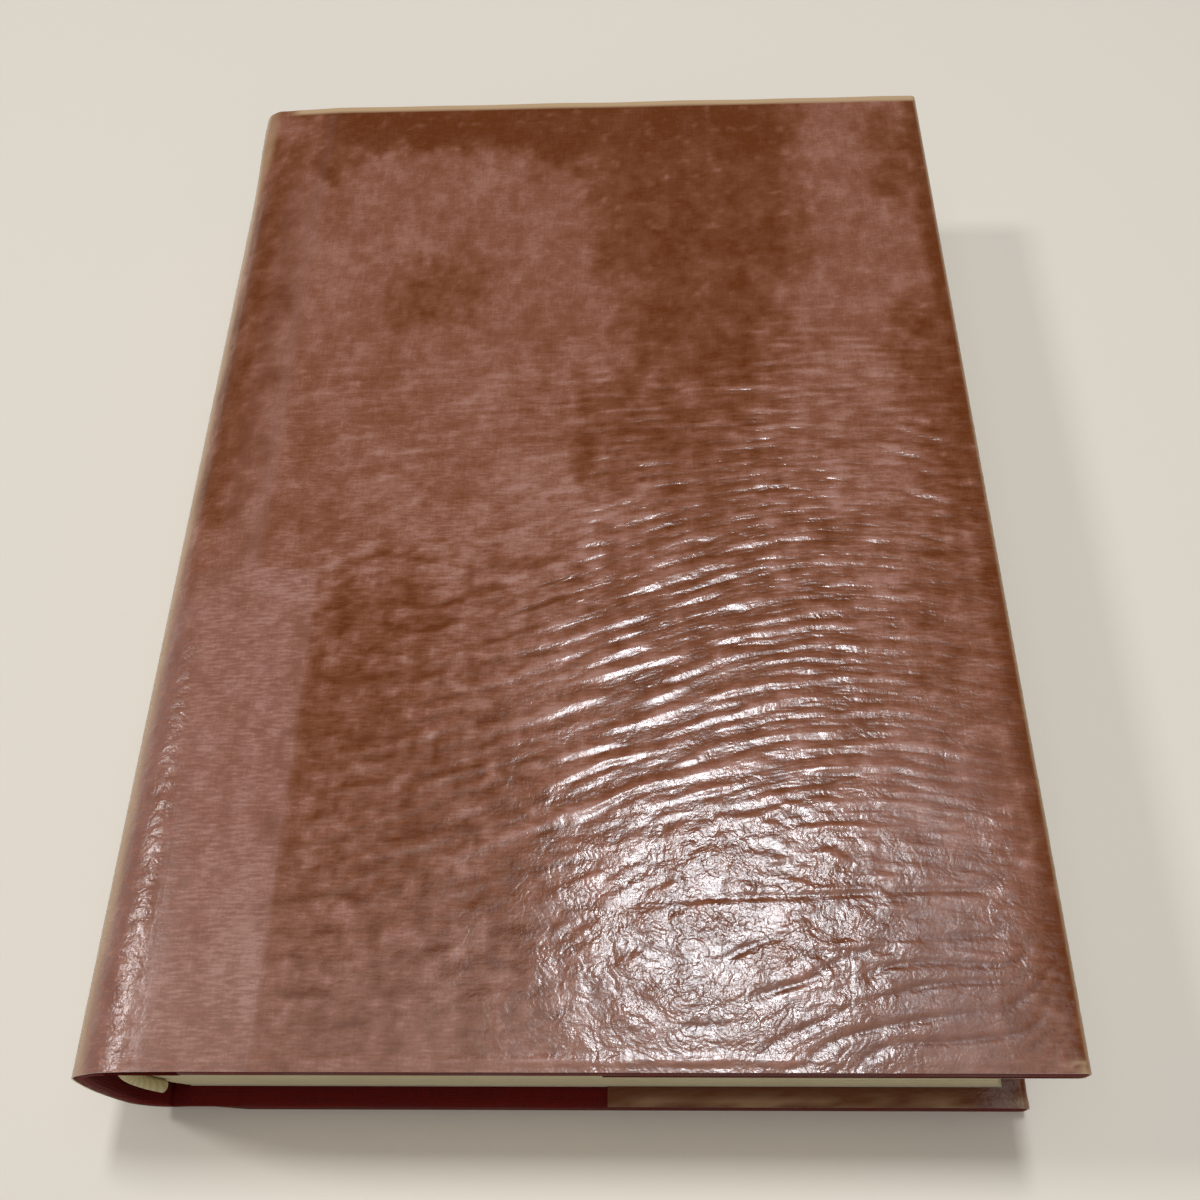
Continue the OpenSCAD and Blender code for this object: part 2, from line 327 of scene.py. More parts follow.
def slab_faces(rows, cols):
    """Quads of a grid, of a second grid behind it, and of the strips that join their four edges."""
    number = np.arange(2 * rows * cols).reshape(2, rows, cols)
    edges = number[:, 0], number[:, -1, ::-1], number[:, :, -1], number[:, ::-1, 0]
    return grid_faces(rows, cols), grid_faces(rows, cols, rows * cols, True), [strip_faces(*e) for e in edges]


def tube_faces(rows, around):
    """Quads between closed loops of points, and a cap at each end."""
    number = np.arange(rows * around).reshape(rows, around)
    ahead = np.roll(number, -1, axis=1)
    sides = np.stack([number[:-1], ahead[:-1], ahead[1:], number[1:]], -1).reshape(-1, 4)
    return [sides, number[-1:], number[:1, ::-1]]


def border_strip(fine, coarse, kept):
    """Triangles between a fine row of points and a coarse one whose k-th point lies at fine[kept[k]]."""
    nearest = np.abs(np.arange(len(fine))[:, None] - np.asarray(kept)[None, :]).argmin(axis=1)
    first = np.column_stack([fine[:-1], fine[1:], coarse[nearest[:-1]]])
    moves = nearest[1:] != nearest[:-1]
    second = np.column_stack([fine[1:], coarse[nearest[1:]], coarse[nearest[:-1]]])[moves]
    return np.vstack([first, second])


def new_piece(name, points, faces, flat=None, marks=None, smooth_angle=40, turned=False):
    """A mesh object from points in millimetres. flat is its own (u, v) in millimetres, marks are named
    values at the points. A piece that is drawn for the front half is turned over to serve the back half."""
    mesh = bpy.data.meshes.new(name)
    if turned:
        points = np.column_stack([points[:, :2], 2 * mid_z - points[:, 2]])
        faces = [part[:, ::-1] for part in faces]
    mesh.from_pydata((points * MM).tolist(), [], [face for part in faces for face in part.tolist()])
    if flat is not None:
        corner = np.empty(len(mesh.loops), np.int32)
        mesh.loops.foreach_get("vertex_index", corner)
        layer = mesh.uv_layers.new(name="flat")
        layer.data.foreach_set("uv", (flat * MM)[corner].astype(np.float32).ravel())
    for mark, values in (marks or {}).items():
        attribute = mesh.attributes.new(mark, "FLOAT", "POINT")
        attribute.data.foreach_set("value", np.asarray(values, np.float32).ravel())
    mesh.validate()
    mesh.polygons.foreach_set("use_smooth", np.ones(len(mesh.polygons), bool))
    mesh.set_sharp_from_angle(angle=math.radians(smooth_angle))
    piece = bpy.data.objects.new(name, mesh)
    bpy.context.scene.collection.objects.link(piece)
    mesh.calc_loop_triangles()
    print(name, "has", len(mesh.loop_triangles), "triangles")
    return piece


def in_frame(x, y, height):
    """Points in the frame: x as in the section, y as in the frame, height above the book's middle."""
    return np.stack(np.broadcast_arrays(x + spine_face, y, height + mid_z), axis=-1)


def place(section, y):
    """Points of a section (x, height) at the distances y, as an array of rows in the frame."""
    return in_frame(section[:, 0], y[:, None], section[:, 1])


def grid_points(across, along):
    """Flat coordinates of the points of a grid, from those of its columns and of its rows."""
    return np.stack(np.meshgrid(across, along), axis=-1).reshape(-1, 2)


def outward(section):
    """Unit normals of a line that runs with the outside on its left."""
    run = np.gradient(section, axis=0)
    run /= np.linalg.norm(run, axis=1)[:, None]
    return np.column_stack([-run[:, 1], run[:, 0]])


def unrolled(section):
    """Distance along a line, set so that it equals the book's x where the line lies on the board."""
    along = lengths(section)
    outside = section[:, 1] > case_out - 0.5
    on_board = np.argmin(np.where(outside, np.abs(section[:, 0] - sx_case_fore / 2), np.inf))
    return along - along[on_board] + section[on_board, 0] + spine_face


# %% [markdown]
# Shader helpers
#
# Materials are built from nodes in code. A value is a node's output that can be added, multiplied and so on,
# and each such step makes the node for it. A material then reads like a formula, from pattern to shader.

# %% Values in a node tree


def feed(node, **sockets):
    """Links or sets a node's inputs, by name with _ for a space, or by number after an i."""
    for key, value in sockets.items():
        by_number = key[0] == "i" and key[1:].isdigit()
        socket = node.inputs[int(key[1:]) if by_number else key.replace("_", " ")]
        if isinstance(value, Value):
            node.id_data.links.new(value.socket, socket)
        else:
            socket.default_value = value


def add(tree, kind, settings=None, **sockets):
    """A node of this kind, with settings as its properties and its sockets fed."""
    node = tree.nodes.new(kind)
    for key, value in (settings or {}).items():
        setattr(node, key, value)
    feed(node, **sockets)
    return node


def value_of(tree, kind, settings=None, **sockets):
    """The first output of a new node, as a value."""
    return Value(add(tree, kind, settings, **sockets).outputs[0])


class Value:
    """A node's output, with short ways to make the next node from it."""

    def __init__(self, socket):
        self.socket, self.tree = socket, socket.id_data

    def maths(self, operation, other=0.0):
        """A Math node of this operation."""
        return value_of(self.tree, "ShaderNodeMath", {"operation": operation}, i0=self, i1=other)

    def __add__(self, other):
        return self.maths("ADD", other)

    def __sub__(self, other):
        return self.maths("SUBTRACT", other)

    def __mul__(self, other):
        return self.maths("MULTIPLY", other)

    def __abs__(self):
        return self.maths("ABSOLUTE")

    def spread(self, from_low, from_high, to_low=0.0, to_high=1.0):
        """Carried from one range to another by a smooth step, and kept inside it."""
        return value_of(self.tree, "ShaderNodeMapRange", {"interpolation_type": "SMOOTHSTEP"}, i0=self,
                     i1=from_low, i2=from_high, i3=to_low, i4=to_high)

    def mix(self, colour, other):
        """The colour, or the other where this value is 1."""
        node = add(self.tree, "ShaderNodeMix", {"data_type": "RGBA"}, i0=self, i6=colour, i7=other)
        return Value(node.outputs[2])

    def bump(self, distance_mm, **under):
        """The normal of a surface where this value's 1 stands distance_mm high, over another Normal."""
        return value_of(self.tree, "ShaderNodeBump", Height=self, Distance=distance_mm * MM, Strength=1.0,
                        **under)

    def noise(self, scale, detail=3.0, roughness=0.55, distortion=0.0):
        """Noise, 0 to 1, with scale waves to the metre at this place."""
        return value_of(self.tree, "ShaderNodeTexNoise", Vector=self, Scale=scale, Detail=detail,
                     Roughness=roughness, Distortion=distortion)


def own_flat(tree):
    """The piece's own flat coordinates, in metres."""
    return value_of(tree, "ShaderNodeUVMap", {"uv_map": "flat"})


def object_place(tree):
    """Object coordinates, in metres."""
    return Value(add(tree, "ShaderNodeTexCoord").outputs["Object"])


def mark(tree, name):
    """A named value of the piece's points."""
    return Value(add(tree, "ShaderNodeAttribute", {"attribute_name": name}).outputs["Fac"])


def srgb(red, green, blue):
    """A colour as seen on a screen, 0 to 255, as the linear colour that a shader takes."""
    value = np.array([red, green, blue]) / 255
    linear = np.where(value <= 0.04045, value / 12.92, ((value + 0.055) / 1.055) ** 2.4)
    return (*[float(c) for c in linear], 1.0)


def make_material(name, look):
    """A material whose Principled shader takes the inputs that look returns for the node tree."""
    material = bpy.data.materials.new(name)
    material.use_nodes = True
    tree = material.node_tree
    tree.nodes.clear()
    shader = value_of(tree, "ShaderNodeBsdfPrincipled", **look(tree))
    add(tree, "ShaderNodeOutputMaterial", Surface=shader)
    return material


def matt(colour, roughness, specular, normal):
    """The shader's inputs for a matt surface."""
    return dict(Base_Color=colour, Roughness=roughness, Specular_IOR_Level=specular, Normal=normal)


# %% [markdown]
# Shared patterns
#
# Two patterns serve several materials. Threads are streaks: noise that is stretched along one direction.
# Weave is two sets of waves that cross and pass over each other. Both are groups, so each material gives
# its own place and scale.

# %% The thread and weave groups


def new_group(name, **inputs):
    """A node group with one output: the group, its inputs as values and its output node."""
    group = bpy.data.node_groups.new(name, "ShaderNodeTree")
    for label, kind in inputs.items():
        group.interface.new_socket(label, in_out="INPUT", socket_type="NodeSocket" + kind)
    group.interface.new_socket("Pattern", in_out="OUTPUT", socket_type="NodeSocketFloat")
    given = add(group, "NodeGroupInput")
    return group, [Value(given.outputs[label]) for label in inputs], add(group, "NodeGroupOutput")


def make_threads():
    """Streaks along U: noise at Across per metre over V and Along per metre over U."""
    group, (spot, along, across), result = new_group(
        "threads", Place="Vector", Along="Float", Across="Float")
    scale = value_of(group, "ShaderNodeCombineXYZ", X=along, Y=across, Z=along)
    where = value_of(group, "ShaderNodeVectorMath", {"operation": "MULTIPLY"}, i0=spot, i1=scale)
    feed(result, Pattern=where.noise(1.0, 2.0, 0.6).spread(0.25, 0.75))
    return group


def make_weave():
    """Plain weave: threads along U and V, each on top in turn. The value is the height of the upper one."""
    group, (spot, count), result = new_group("weave", Place="Vector", Threads="Float")
    where = value_of(group, "ShaderNodeVectorMath", {"operation": "SCALE"}, i0=spot, i3=count)
    wobble = where.noise(0.12, 1.0, 0.5) * 1.6
    axes = add(group, "ShaderNodeSeparateXYZ", i0=where).outputs[:2]
    wave_u, wave_v = [((Value(axis) + wobble) * math.pi).maths("SINE") for axis in axes]
    on_top = (wave_u * wave_v).spread(-0.15, 0.15)
    feed(result, Pattern=abs(wave_u) + (abs(wave_v) - abs(wave_u)) * on_top)
    return group


threads_group, weave_group = make_threads(), make_weave()


def threads(spot, along, across):
    """The thread pattern at a place."""
    return value_of(spot.tree, "ShaderNodeGroup", {"node_tree": threads_group}, Place=spot, Along=along,
                 Across=across)


def weave(spot, count):
    """The weave pattern at a place, with count threads to the metre."""
    return value_of(spot.tree, "ShaderNodeGroup", {"node_tree": weave_group}, Place=spot, Threads=count)


# %% [markdown]
# The wrapper's stains
#
# What the wrapper shows is how close it lies to the cloth. That is a map over the flat sheet: 1 where it
# lies close and looks dark brown, 0 where it has lifted and looks pale. The map is placed from listed soft
# rectangles in the book's millimetres, and its edges are broken up by noise, because damp creeps unevenly.
# Fine veins and creases cross the dark part by the spine and the tail.

# %% How close the wrapper lies


STAINS = [  # x from and to, y from and to, softness, strength
    (-55, -48, 75, 120, 4, 1.0), (-52, -8, 84, 120, 5, 1.0), (-14, 45, 78, 120, 6, 0.95),
    (2, 44, 46, 86, 6, 0.76), (9, 37, 16, 56, 6, 0.68), (-1, 37, -4, 24, 5, 0.58), (10, 34, -17, 2, 6, 0.55),
    (-37, -18, 34, 55, 6, 0.55), (-68, -57, -8, 88, 4, 0.6), (-66, -50, 80, 120, 5, 0.42),
    (-43, -17, -58, -20, 7, 0.56), (-22, -4, -62, -22, 8, 0.34), (-43, 4, -100, -50, 8, 0.44),
    (58, 90, -14, 42, 6, 0.76), (58, 90, 66, 92, 7, 0.6), (-60, 6, -22, 30, 14, 0.12),
    (0, 50, -68, -6, 9, 0.56), (48, 72, -68, -6, 9, 0.40), (4, 72, -110, -60, 10, 0.58)]


def closeness(x, y):
    """1 where the front of the wrapper lies close to the cloth, 0 where it has lifted."""
    wx = x + 4.5 * cloudy(x / 12, y / 12, 11, 4, 0.6)
    wy = y + 5.5 * cloudy(x / 9, y / 12, 14, 4, 0.6)
    shape = 0.12 * np.ones_like(x)
    for x0, x1, y0, y1, edge, strength in STAINS:
        shape = np.maximum(shape, strength * patch(wx, wy, x0, x1, y0, y1, edge))
    shape = np.maximum(shape, 0.95 * ramp(x + 1.2 * noise(x / 4, y / 6, 24), 64.5, 68.5))
    close = shape + 0.26 * cloudy(x / 13, y / 15, 17, 3, 0.6)
    ragged = cloudy(x / 3.6, y / 5.2, 23, 4, 0.7)
    close = close + ragged * (0.16 + 0.40 * np.sin(np.pi * np.clip(shape, 0, 1)))
    dots = ramp(noise(x / 3.1, y / 3.1, 21) + 0.6 * noise(x / 1.6, y / 1.6, 22), 0.22, 0.7)
    close = close - 0.55 * dots * ramp(shape, 0.3, 0.8)
    close = close - 0.12 * patch(x, y, -20, 14, -16, 4, 6)
    veined = patch(x, y, -42, 4, -94, -12, 5)
    rise = y - 0.0035 * (x + 43) ** 2 + 3.0 * noise(x / 9, y / 6, 90)
    veins = waves(rise / 4.4, 0.1, 0.22) * broken(x / 8, rise / 4, 91, -0.3, 0.3)
    close = close + veined * (0.62 * veins + 0.42 * creases(x / 3.4, y / 2.8, 92) - 0.30)
    return 0.08 + 0.84 * np.clip(close, -0.15, 1.05)


def doubled(x, y):
    """1 over the corner by the spine and the tail, where something thin lies under the wrapper."""
    wobble = 0.25 * noise(x / 9, y / 9, 31)
    return ramp(x + wobble, -42.4, -43.0) * ramp(y + wobble, -17.6, -18.3)


# %% [markdown]
# The wrapper's ripples
#
# The wrapper has shrunk and stretched unevenly, so it stands up in ripples. They are fine and level in the
# middle of the cover, larger and fanned over its right half, and turn to sharp creases near the tail. A
# direction field bends the lattice of the noise, so that long ripples follow it. Heights are in millimetres
# and never go below the cloth.

# %% Height of the ripples


def fan(x, y):
    """How far a ripple has risen at x: uphill on the left, level at about x = 42, then downhill."""
    rise = 0.07 * x - 3.8 * np.log(np.cosh((38 - x) / 14))
    return rise * (0.15 + 0.85 * ramp(y, 16, -22))


def broken(x, y, seed, low=-0.15, high=0.4):
    """A mask that lets ripples start and end."""
    return ramp(noise(x, y, seed), low, high)


def arches(x, y):
    """Height of the arched creases that stand over the highlight: up to x = 24 and down again."""
    rise = y + 4.6 * np.log(np.cosh((x - 24) / 8)) + 1.1 * noise(x / 6, y / 5, 68)
    return waves(rise / 2.5, 0.15, 0.3) * broken(x / 6, rise / 2.5, 69, -0.2, 0.4)


def tail_folds(x, y):
    """Depth of the long folds in the corner by the fore edge: rising, level from x = 47, then up at 60."""
    bent = y - 0.10 * (x - 20) - 5.5 * ramp(x, 20, 47) - 0.12 * np.clip(x - 60, 0, 12) ** 2
    phase = bent / 3.3 + 0.7 * noise(x / 20, y / 5, 86)
    offset = phase - np.round(phase)
    return np.exp(-((offset / 0.12) ** 2)) * broken(x / 15, bent / 2.9, 87, -0.35, 0.25)


def ripples(x, y):
    """Height of the front wrapper above the cloth, in millimetres."""
    across = y - fan(x, y) + 1.0 * noise(x / 15, y / 8, 41) + 0.25 * noise(x / 3, y / 3, 40)
    long_zone = patches(x, y, (1.0, 0, 52, -64, -12, 9), (0.42, -36, 8, -72, -22, 9),
                        (0.42, 4, 46, -14, 12, 7), (0.22, 50, 72, -64, -6, 7))
    long_wave = waves(across / 3.0 + 0.55 * noise(x / 22, across / 7, 42), 0.15, 0.32)
    long_wave = long_wave * broken(x / 12, across / 2.9, 43, -0.3, 0.3)
    long_wave = long_wave * (1 + 1.3 * noise(x / 9, across / 3, 39))
    side_wave = waves(across / 1.9 + 0.4 * noise(x / 12, across / 6, 44)) * broken(x / 7, across / 2.0, 45)
    side_wave = side_wave + 0.5 * noise(x / 4, across / 1.0, 64)
    level_zone = patches(x, y, (0.75, -58, 20, -26, 32, 10), (1.0, 28, 72, -90, 46, 9),
                         (0.7, -2, 40, -20, 26, 8))
    level = waves((across + 0.5 * noise(x / 9, y / 3, 46)) / 1.9) * broken(x / 6, y / 1.7, 47, -0.3, 0.4)
    level = level + 0.6 * noise(x / 7, across / 1.3, 48)
    edge_wave = waves((y + 0.4 * (x - 55)) / 2.7) * broken(x / 7, y / 3, 49) * patch(x, y, 54, 70, -14, 14, 4)
    bent_x = x + 1.4 * noise(x / 6, y / 6, 53)
    bent_y = y + 1.4 * noise(x / 6, y / 6, 54) + 0.3 * np.abs(x - 24)
    crumple_zone = patches(x, y, (1.0, 2, 46, -92, -62, 10), (0.3, -42, 4, -95, -62, 10))
    crumple = 0.4 * cloudy(bent_x / 4.2, bent_y / 3.0, 55, 2) - 0.5 * creases(bent_x / 7.0, bent_y / 3.6, 57)
    crumple = crumple - 0.25 * creases(bent_x / 2.8, bent_y / 2.6, 58) + 0.4 * noise(x / 1.6, y / 1.5, 63)
    raised = patch(x, y, -8, 68, -94, -54, 8)
    chain = np.exp(-((x - 64.0 - 5.0 * noise(x * 0, y / 6, 50)) / 1.9) ** 2)
    chain = chain * patch(x, y, 60, 70, -86, -60, 4) * (0.5 + 2.2 * noise(x / 2, y / 1.8, 51))
    leaning = (y - 0.55 * (x + 64) + 1.2 * noise(x / 3, y / 4, 59)) / 2.4
    shoulder = patch(x, y, -67, -60, -98, -34, 2) * (
        1.5 * waves(leaning, 0.17, 0.3) * broken(x / 2.5, leaning, 37) + noise(x / 1.6, y / 2.0, 60))
    hem = np.exp(-((y - tail_y - 1.5 - 0.6 * noise(x / 9, x * 0, 61)) / 0.35) ** 2)
    hem = hem * (0.3 + 0.7 * patch(x, y, -10, 34, -99, -90, 12)) * (1 + noise(x / 5, y / 9, 38))
    dent = np.exp(-((y + 74.3 - 0.035 * (x - 20)) / 0.32) ** 2) * patch(x, y, 17, 60, -80, -68, 4)
    height = 0.010 * cloudy(x / 2.4, y / 2.4, 62) + 0.24 * raised
    height = height + 0.14 * long_zone * long_wave + 0.055 * (long_zone + 0.3) * side_wave * ramp(x, -30, 5)
    height = height + 0.072 * level_zone * level + 0.18 * edge_wave
    height = height + 0.10 * arches(x, y) * patch(x, y, 0, 48, -84, -54, 6)
    folds = tail_folds(x, y) * patch(x, y, 18, 70, -97, -79, 4)
    height = height - 0.16 * folds
    height = height + 0.10 * crumple_zone * crumple + 0.09 * chain
    height = height + 0.10 * shoulder + 0.17 * hem - 0.16 * dent + 0.05 * doubled(x, y)
    return height, 0.24 * raised, folds


def above_cloth(height):
    """Heights eased so that they stay above a lowest one: the log of 1 plus e to the height, over a scale."""
    scale, shift, lowest = 0.03, 0.04, -0.02
    return scale * np.logaddexp(0, (height + shift) / scale) + lowest


# %% [markdown]
# Glassine
#
# One material serves the whole wrapper. A colour ramp turns closeness into colour, with the cloth's threads
# and fine mottling added first. Tan marks the places where there is no red cloth behind the sheet, and it is
# also painted as a grazing sheen over the spine and along the long edges. A mauve haze whitens the sheet
# where it is doubled, lifted or creased, and over the lower right of the cover it is a painted sheen beside
# the highlight. The sheet is smooth, so the roughness is low, and a fine crinkle in the bump breaks
# reflections into sparks.

# %% The glassine material


def glassine_look(tree):
    """Tan translucent paper over red cloth, painted by closeness, with a glossy crinkled surface."""
    flat = own_flat(tree)
    streak, upright = threads(flat, 420.0, 2300.0), threads(flat, 2300.0, 300.0)
    mottle, grain = flat.noise(620.0, 5.0, 0.65), flat.noise(2600.0, 2.0, 0.6)
    u = Value(add(tree, "ShaderNodeSeparateXYZ", i0=flat).outputs[0])
    along_ripples = value_of(tree, "ShaderNodeCombineXYZ", X=u, Y=mark(tree, "across"))
    fine = (threads(along_ripples, 120.0, 560.0) - 0.5) * mark(tree, "rippled")
    close = mark(tree, "close") - fine * 0.34
    for pattern, weight in ((mottle, 0.52), (streak, mark(tree, "threads")), (upright, 0.12), (grain, 0.48)):
        close = close + (pattern - 0.5) * weight
    stops = add(tree, "ShaderNodeValToRGB", i0=close * 0.8 + 0.2)
    ends = stops.color_ramp.elements
    ends[0].color, ends[1].color = srgb(170, 124, 109), srgb(104, 49, 8)
    for position, colour in ((0.2, (156, 106, 88)), (0.376, (141, 89, 67)), (0.64, (124, 72, 45))):
        ends.new(position).color = srgb(*colour)
    # the mauve haze: real where the sheet is doubled, lifted or creased, painted sheen over the lower right
    # beside the highlight
    milky = mark(tree, "milky")
    haze_and_sheen = milky * streak.spread(0.1, 0.9, 0.1, 1.9)
    colour = haze_and_sheen.mix(Value(stops.outputs[0]), srgb(150, 114, 109))
    # tan where the sheet is bare of cloth, and painted grazing sheen over the spine and the long edges
    colour = mark(tree, "bare").mix(colour, srgb(196, 165, 128))
    crinkled = mark(tree, "crinkled")
    worms = abs(flat.noise(260.0, 2.0, 0.5, 0.9) - 0.5).spread(0.0, 0.12)
    normal = ((worms * 0.11 + flat.noise(250.0, 4.0, 0.6, 0.5)) * crinkled).bump(0.13)
    normal = (flat.noise(2100.0, 2.0, 0.5) * crinkled).bump(0.024, Normal=normal)
    normal = (streak + grain).bump(0.005, Normal=fine.bump(0.05, Normal=normal))
    roughness = mottle.spread(0.3, 0.7, 0.16, 0.24) + milky * 0.35
    return dict(Base_Color=colour, Roughness=roughness, IOR=1.5, Normal=normal)


glassine = make_material("glassine", glassine_look)

# %% [markdown]
# The two halves of the wrapper
#
# On the book the wrapper is one sheet. Here it is two, because a sheet can bend across one hinge only: they
# meet along the middle of the spine.
#
# The shape of a half is a set of maps over the flat sheet. Height and free lift it off its section, pull
# moves its edge along the book, and stands squares its corner. The other maps are marks that the material
# reads.


def bend_at_hinge(piece):
    """Bakes a piece's placement into its mesh."""
    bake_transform(piece)


# %% One half of the wrapper


def squared(section):
    """The section with its spine's edge pushed out to a corner: the quarter circle becomes a superellipse,
    where x to the 7th plus z to the 7th is constant, and its top is raised to the board's level."""
    power, climb, push, lift = 7, 4.8, 2.1, 0.75 * spine_drop
    x, z = section[:, 0] - edge_cx, section[:, 1] - edge_cz
    on_arc = ramp(z, -0.5, 1.5) * (x < 0)
    corner = (np.abs(x) ** power + np.abs(z) ** power) ** (1 / power) / np.hypot(x, z)
    grown = 1 + on_arc * (1 / corner - 1)
    left = np.clip(1 - x / (lip_cx - edge_cx), 0, 1) * np.clip(z / climb, 0, 1) ** 3
    return np.column_stack([edge_cx + x * grown + push * left, edge_cz + z * grown + lift * left])


inner_spacing = 3.0
inner_every, inner_rows = 12, 26


def wrapper_half(name, line_of, upside_down, shape_of, spacing, row_spacing):
    """A half of the wrapper: outer side fine and shaped by shape_of, inner side coarse."""
    section, cloth_side = [line_of(d, spacing, inner_spacing) for d in (wrap_t, 0)]
    rows = int(round((wrap_head_y - wrap_tail_y) / row_spacing)) + 1
    y = np.linspace(wrap_tail_y, wrap_head_y, rows)
    u = unrolled(section)
    grid_u, grid_y = np.meshgrid(u, y)
    shape = shape_of(grid_u, grid_y)
    normal = outward(section)
    stands = shape.pop("stands")[..., None]

    def side(edge, lift):
        """One side of the sheet: the line carried along, squared where it stands, and lifted."""
        points = place(edge, y) * (1 - stands) + place(squared(edge), y) * stands
        points[..., ::2] += lift[..., None] * normal
        return points

    lift, free = shape.pop("height"), shape.pop("free")
    outer = side(section, lift + free)
    outer[..., 1] += shape.pop("pull")

    # the inner side keeps every point where the line turns or the sheet stands free
    turning = np.abs(np.diff(normal[:, 0], prepend=normal[0, 0])) > 0.002
    turning = turning | (free.max(axis=0) > 0.02)
    turning = turning | np.roll(turning, -1)
    turning[::inner_every] = turning[-1] = True
    kept = np.flatnonzero(turning)
    kept_rows = np.unique(np.round(np.linspace(0, rows - 1, inner_rows)).astype(int))
    inner = side(cloth_side, free)[np.ix_(kept_rows, kept)]

    first_inner = outer.shape[0] * outer.shape[1]
    outer_n = np.arange(first_inner).reshape(outer.shape[:2])
    inner_n = first_inner + np.arange(inner.shape[0] * inner.shape[1]).reshape(inner.shape[:2])
    faces = [grid_faces(*outer.shape[:2]), grid_faces(*inner.shape[:2], first_inner, True),
             border_strip(outer_n[0, ::-1], inner_n[0, ::-1], len(section) - 1 - kept[::-1]),
             border_strip(outer_n[-1], inner_n[-1], kept),
             border_strip(outer_n[:, 0], inner_n[:, 0], kept_rows),
             border_strip(outer_n[::-1, -1], inner_n[::-1, -1], rows - 1 - kept_rows[::-1])]
    points = np.vstack([outer.reshape(-1, 3), inner.reshape(-1, 3)])
    flat = np.vstack([grid_points(u, y), grid_points(u[kept], y[kept_rows])])
    marks = {}
    for key, value in shape.items():
        value = np.broadcast_to(value, grid_u.shape)
        marks[key] = np.concatenate([value.ravel(), value[np.ix_(kept_rows, kept)].ravel()])
    piece = new_piece(name, points, faces, flat, marks, turned=upside_down)
    piece.data.materials.append(glassine)
    print(name, "rises to", round(float(lift.max()), 2), "mm above the sheet")
    return piece


# %% Shape of the front half
fore_u = case_hi[0]


def shared_look(u, y, close, seed):
    """What both halves share: closeness with the spine's put in, the spine's tan as painted grazing sheen,
    masks of the flap and of the overhang at the head, and the pull. The spine is alike on both sides of its
    middle."""
    from_middle = u - u.min()
    spine = ramp(u, -68.5, -76)
    spine_close = 0.45 + 0.5 * cloudy(from_middle / 7, y / 12, 73)
    return (close + spine * (spine_close - close),
            # painted grazing sheen: patchy tan over the spine, where the sheet is seen edge on
            spine * 0.7 * ramp(noise(from_middle / 6, y / 12, 66), -0.9, 0.3),
            ramp(u, fore_u + 0.5, fore_u + 3),
            ramp(y, head_y - 0.25, head_y + 0.25),
            0.25 * noise(u / 14, u * 0, seed) * ramp(y, head_y - 1, head_y + 1))


def over_groove(u):
    """How far the front wrapper stands off the straight line over the groove, by its own stiffness."""
    left = 1 - np.clip((u + 67.5) / (lip_cx + spine_face - 0.1 + 67.5), 0, 1)
    return spine_drop * (left - left**4) * ramp(u, -68, -63.5)


def front_shape(u, y):
    """Heights, pulls and marks of the front half of the wrapper."""
    on_face = ramp(u, -69, -64) * ramp(u, fore_u + 1.2, fore_u - 0.2)
    waviness, raised, folds = ripples(u, y)
    stands = ramp(y, 62, 94) ** 2
    height = above_cloth(waviness * on_face)
    # a ragged tan rim along the spine's edge, painted grazing sheen
    rim = ramp(u + 0.9 * noise(u / 3, y / 9, 88), -65.6 - 0.6 * ramp(y, -60, 0), -68.4)
    standing = np.tanh((waviness - raised - 0.05) / 0.05) + 0.6
    close = closeness(u, y) - 0.28 * standing * patch(u, y, -54, 68, -98, 40, 8)
    close, spine_sheen, flap, overhang, pull = shared_look(u, y, close, 67)
    close = close + 0.45 * folds
    two = doubled(u, y)
    # the mauve haze: where the sheet is doubled, lifted over the groove or creased on the board's edge; the
    # patch over the lower right is painted sheen beside the highlight
    milky = 0.12 * two + 0.08 * (1 - two) * patch(u, y, -60.5, -53.5, -97, 74, 1.5)
    milky = milky + patches(u, y, (0.10, -54.8, -52.4, -18, 99, 0.7), (0.17, 46, 63, -97, -50, 9),
                            (0.2, -69, -63, -99, -24, 2))
    corner = patch(u, y, 67.6, 74, wrap_tail_y - 3, wrap_tail_y + 2.2, 0.8)
    # tan where the sheet is bare of cloth at the head's overhang and the tail corner; the spine's tan, the
    # rim along its edge and the strip round the fore edge are painted grazing sheen
    bare = np.maximum.reduce([
        overhang * ramp(u, -66, -62), spine_sheen, 0.62 * rim,
        0.55 * ramp(u, 69.3, 69.8) * ramp(u, fore_u + 3, fore_u + 1),
        0.6 * corner * ramp(noise(u / 1.2, y / 1.2, 36), -0.2, 0.3)])
    crinkled = 0.25 + patches(u, y, (0.75, 0, 44, -103, -62, 13), (0.35, -15, 66, -97, 12, 12))
    crinkled = crinkled * (1 + 0.9 * noise(u / 7, y / 5, 89))
    crinkled = crinkled + 0.5 * patch(u, y, 60, 67, -86, -60, 3)
    crinkled = np.maximum(crinkled, 1.6 * patch(u, y, -67.5, -60, -99, -30, 2))
    rippled = patches(u, y, (0.6, -60, 70, -34, 30, 10), (0.6, 28, 72, -92, 30, 9),
                      (0.4, -5, 50, -66, 20, 9))
    rippled = rippled * (1 - 0.6 * two) * (1 - 0.8 * patch(u, y, 2, 44, -99, -64, 8))
    height = np.where(flap > 0, np.minimum(height, 0.03), height)
    return {"height": height, "pull": pull, "close": np.clip(close, -0.3, 1.2), "milky": np.clip(milky, 0, 1),
            "bare": np.clip(bare, 0, 1), "crinkled": crinkled, "rippled": rippled,
            "across": (y - fan(u, y)) * MM, "stands": stands,
            "free": over_groove(u) * (1 - 0.9 * stands),
            "threads": 0.14 + 0.22 * ramp(y, 40, -20) + 0.20 * two}


wrapper_upper = wrapper_half("wrapper_upper", front_wrapper_line, False, front_shape, 0.90, 0.455)
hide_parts("wrapper_front", "wrapper_spine")
bend_at_hinge(wrapper_upper)

# %% Shape of the back half


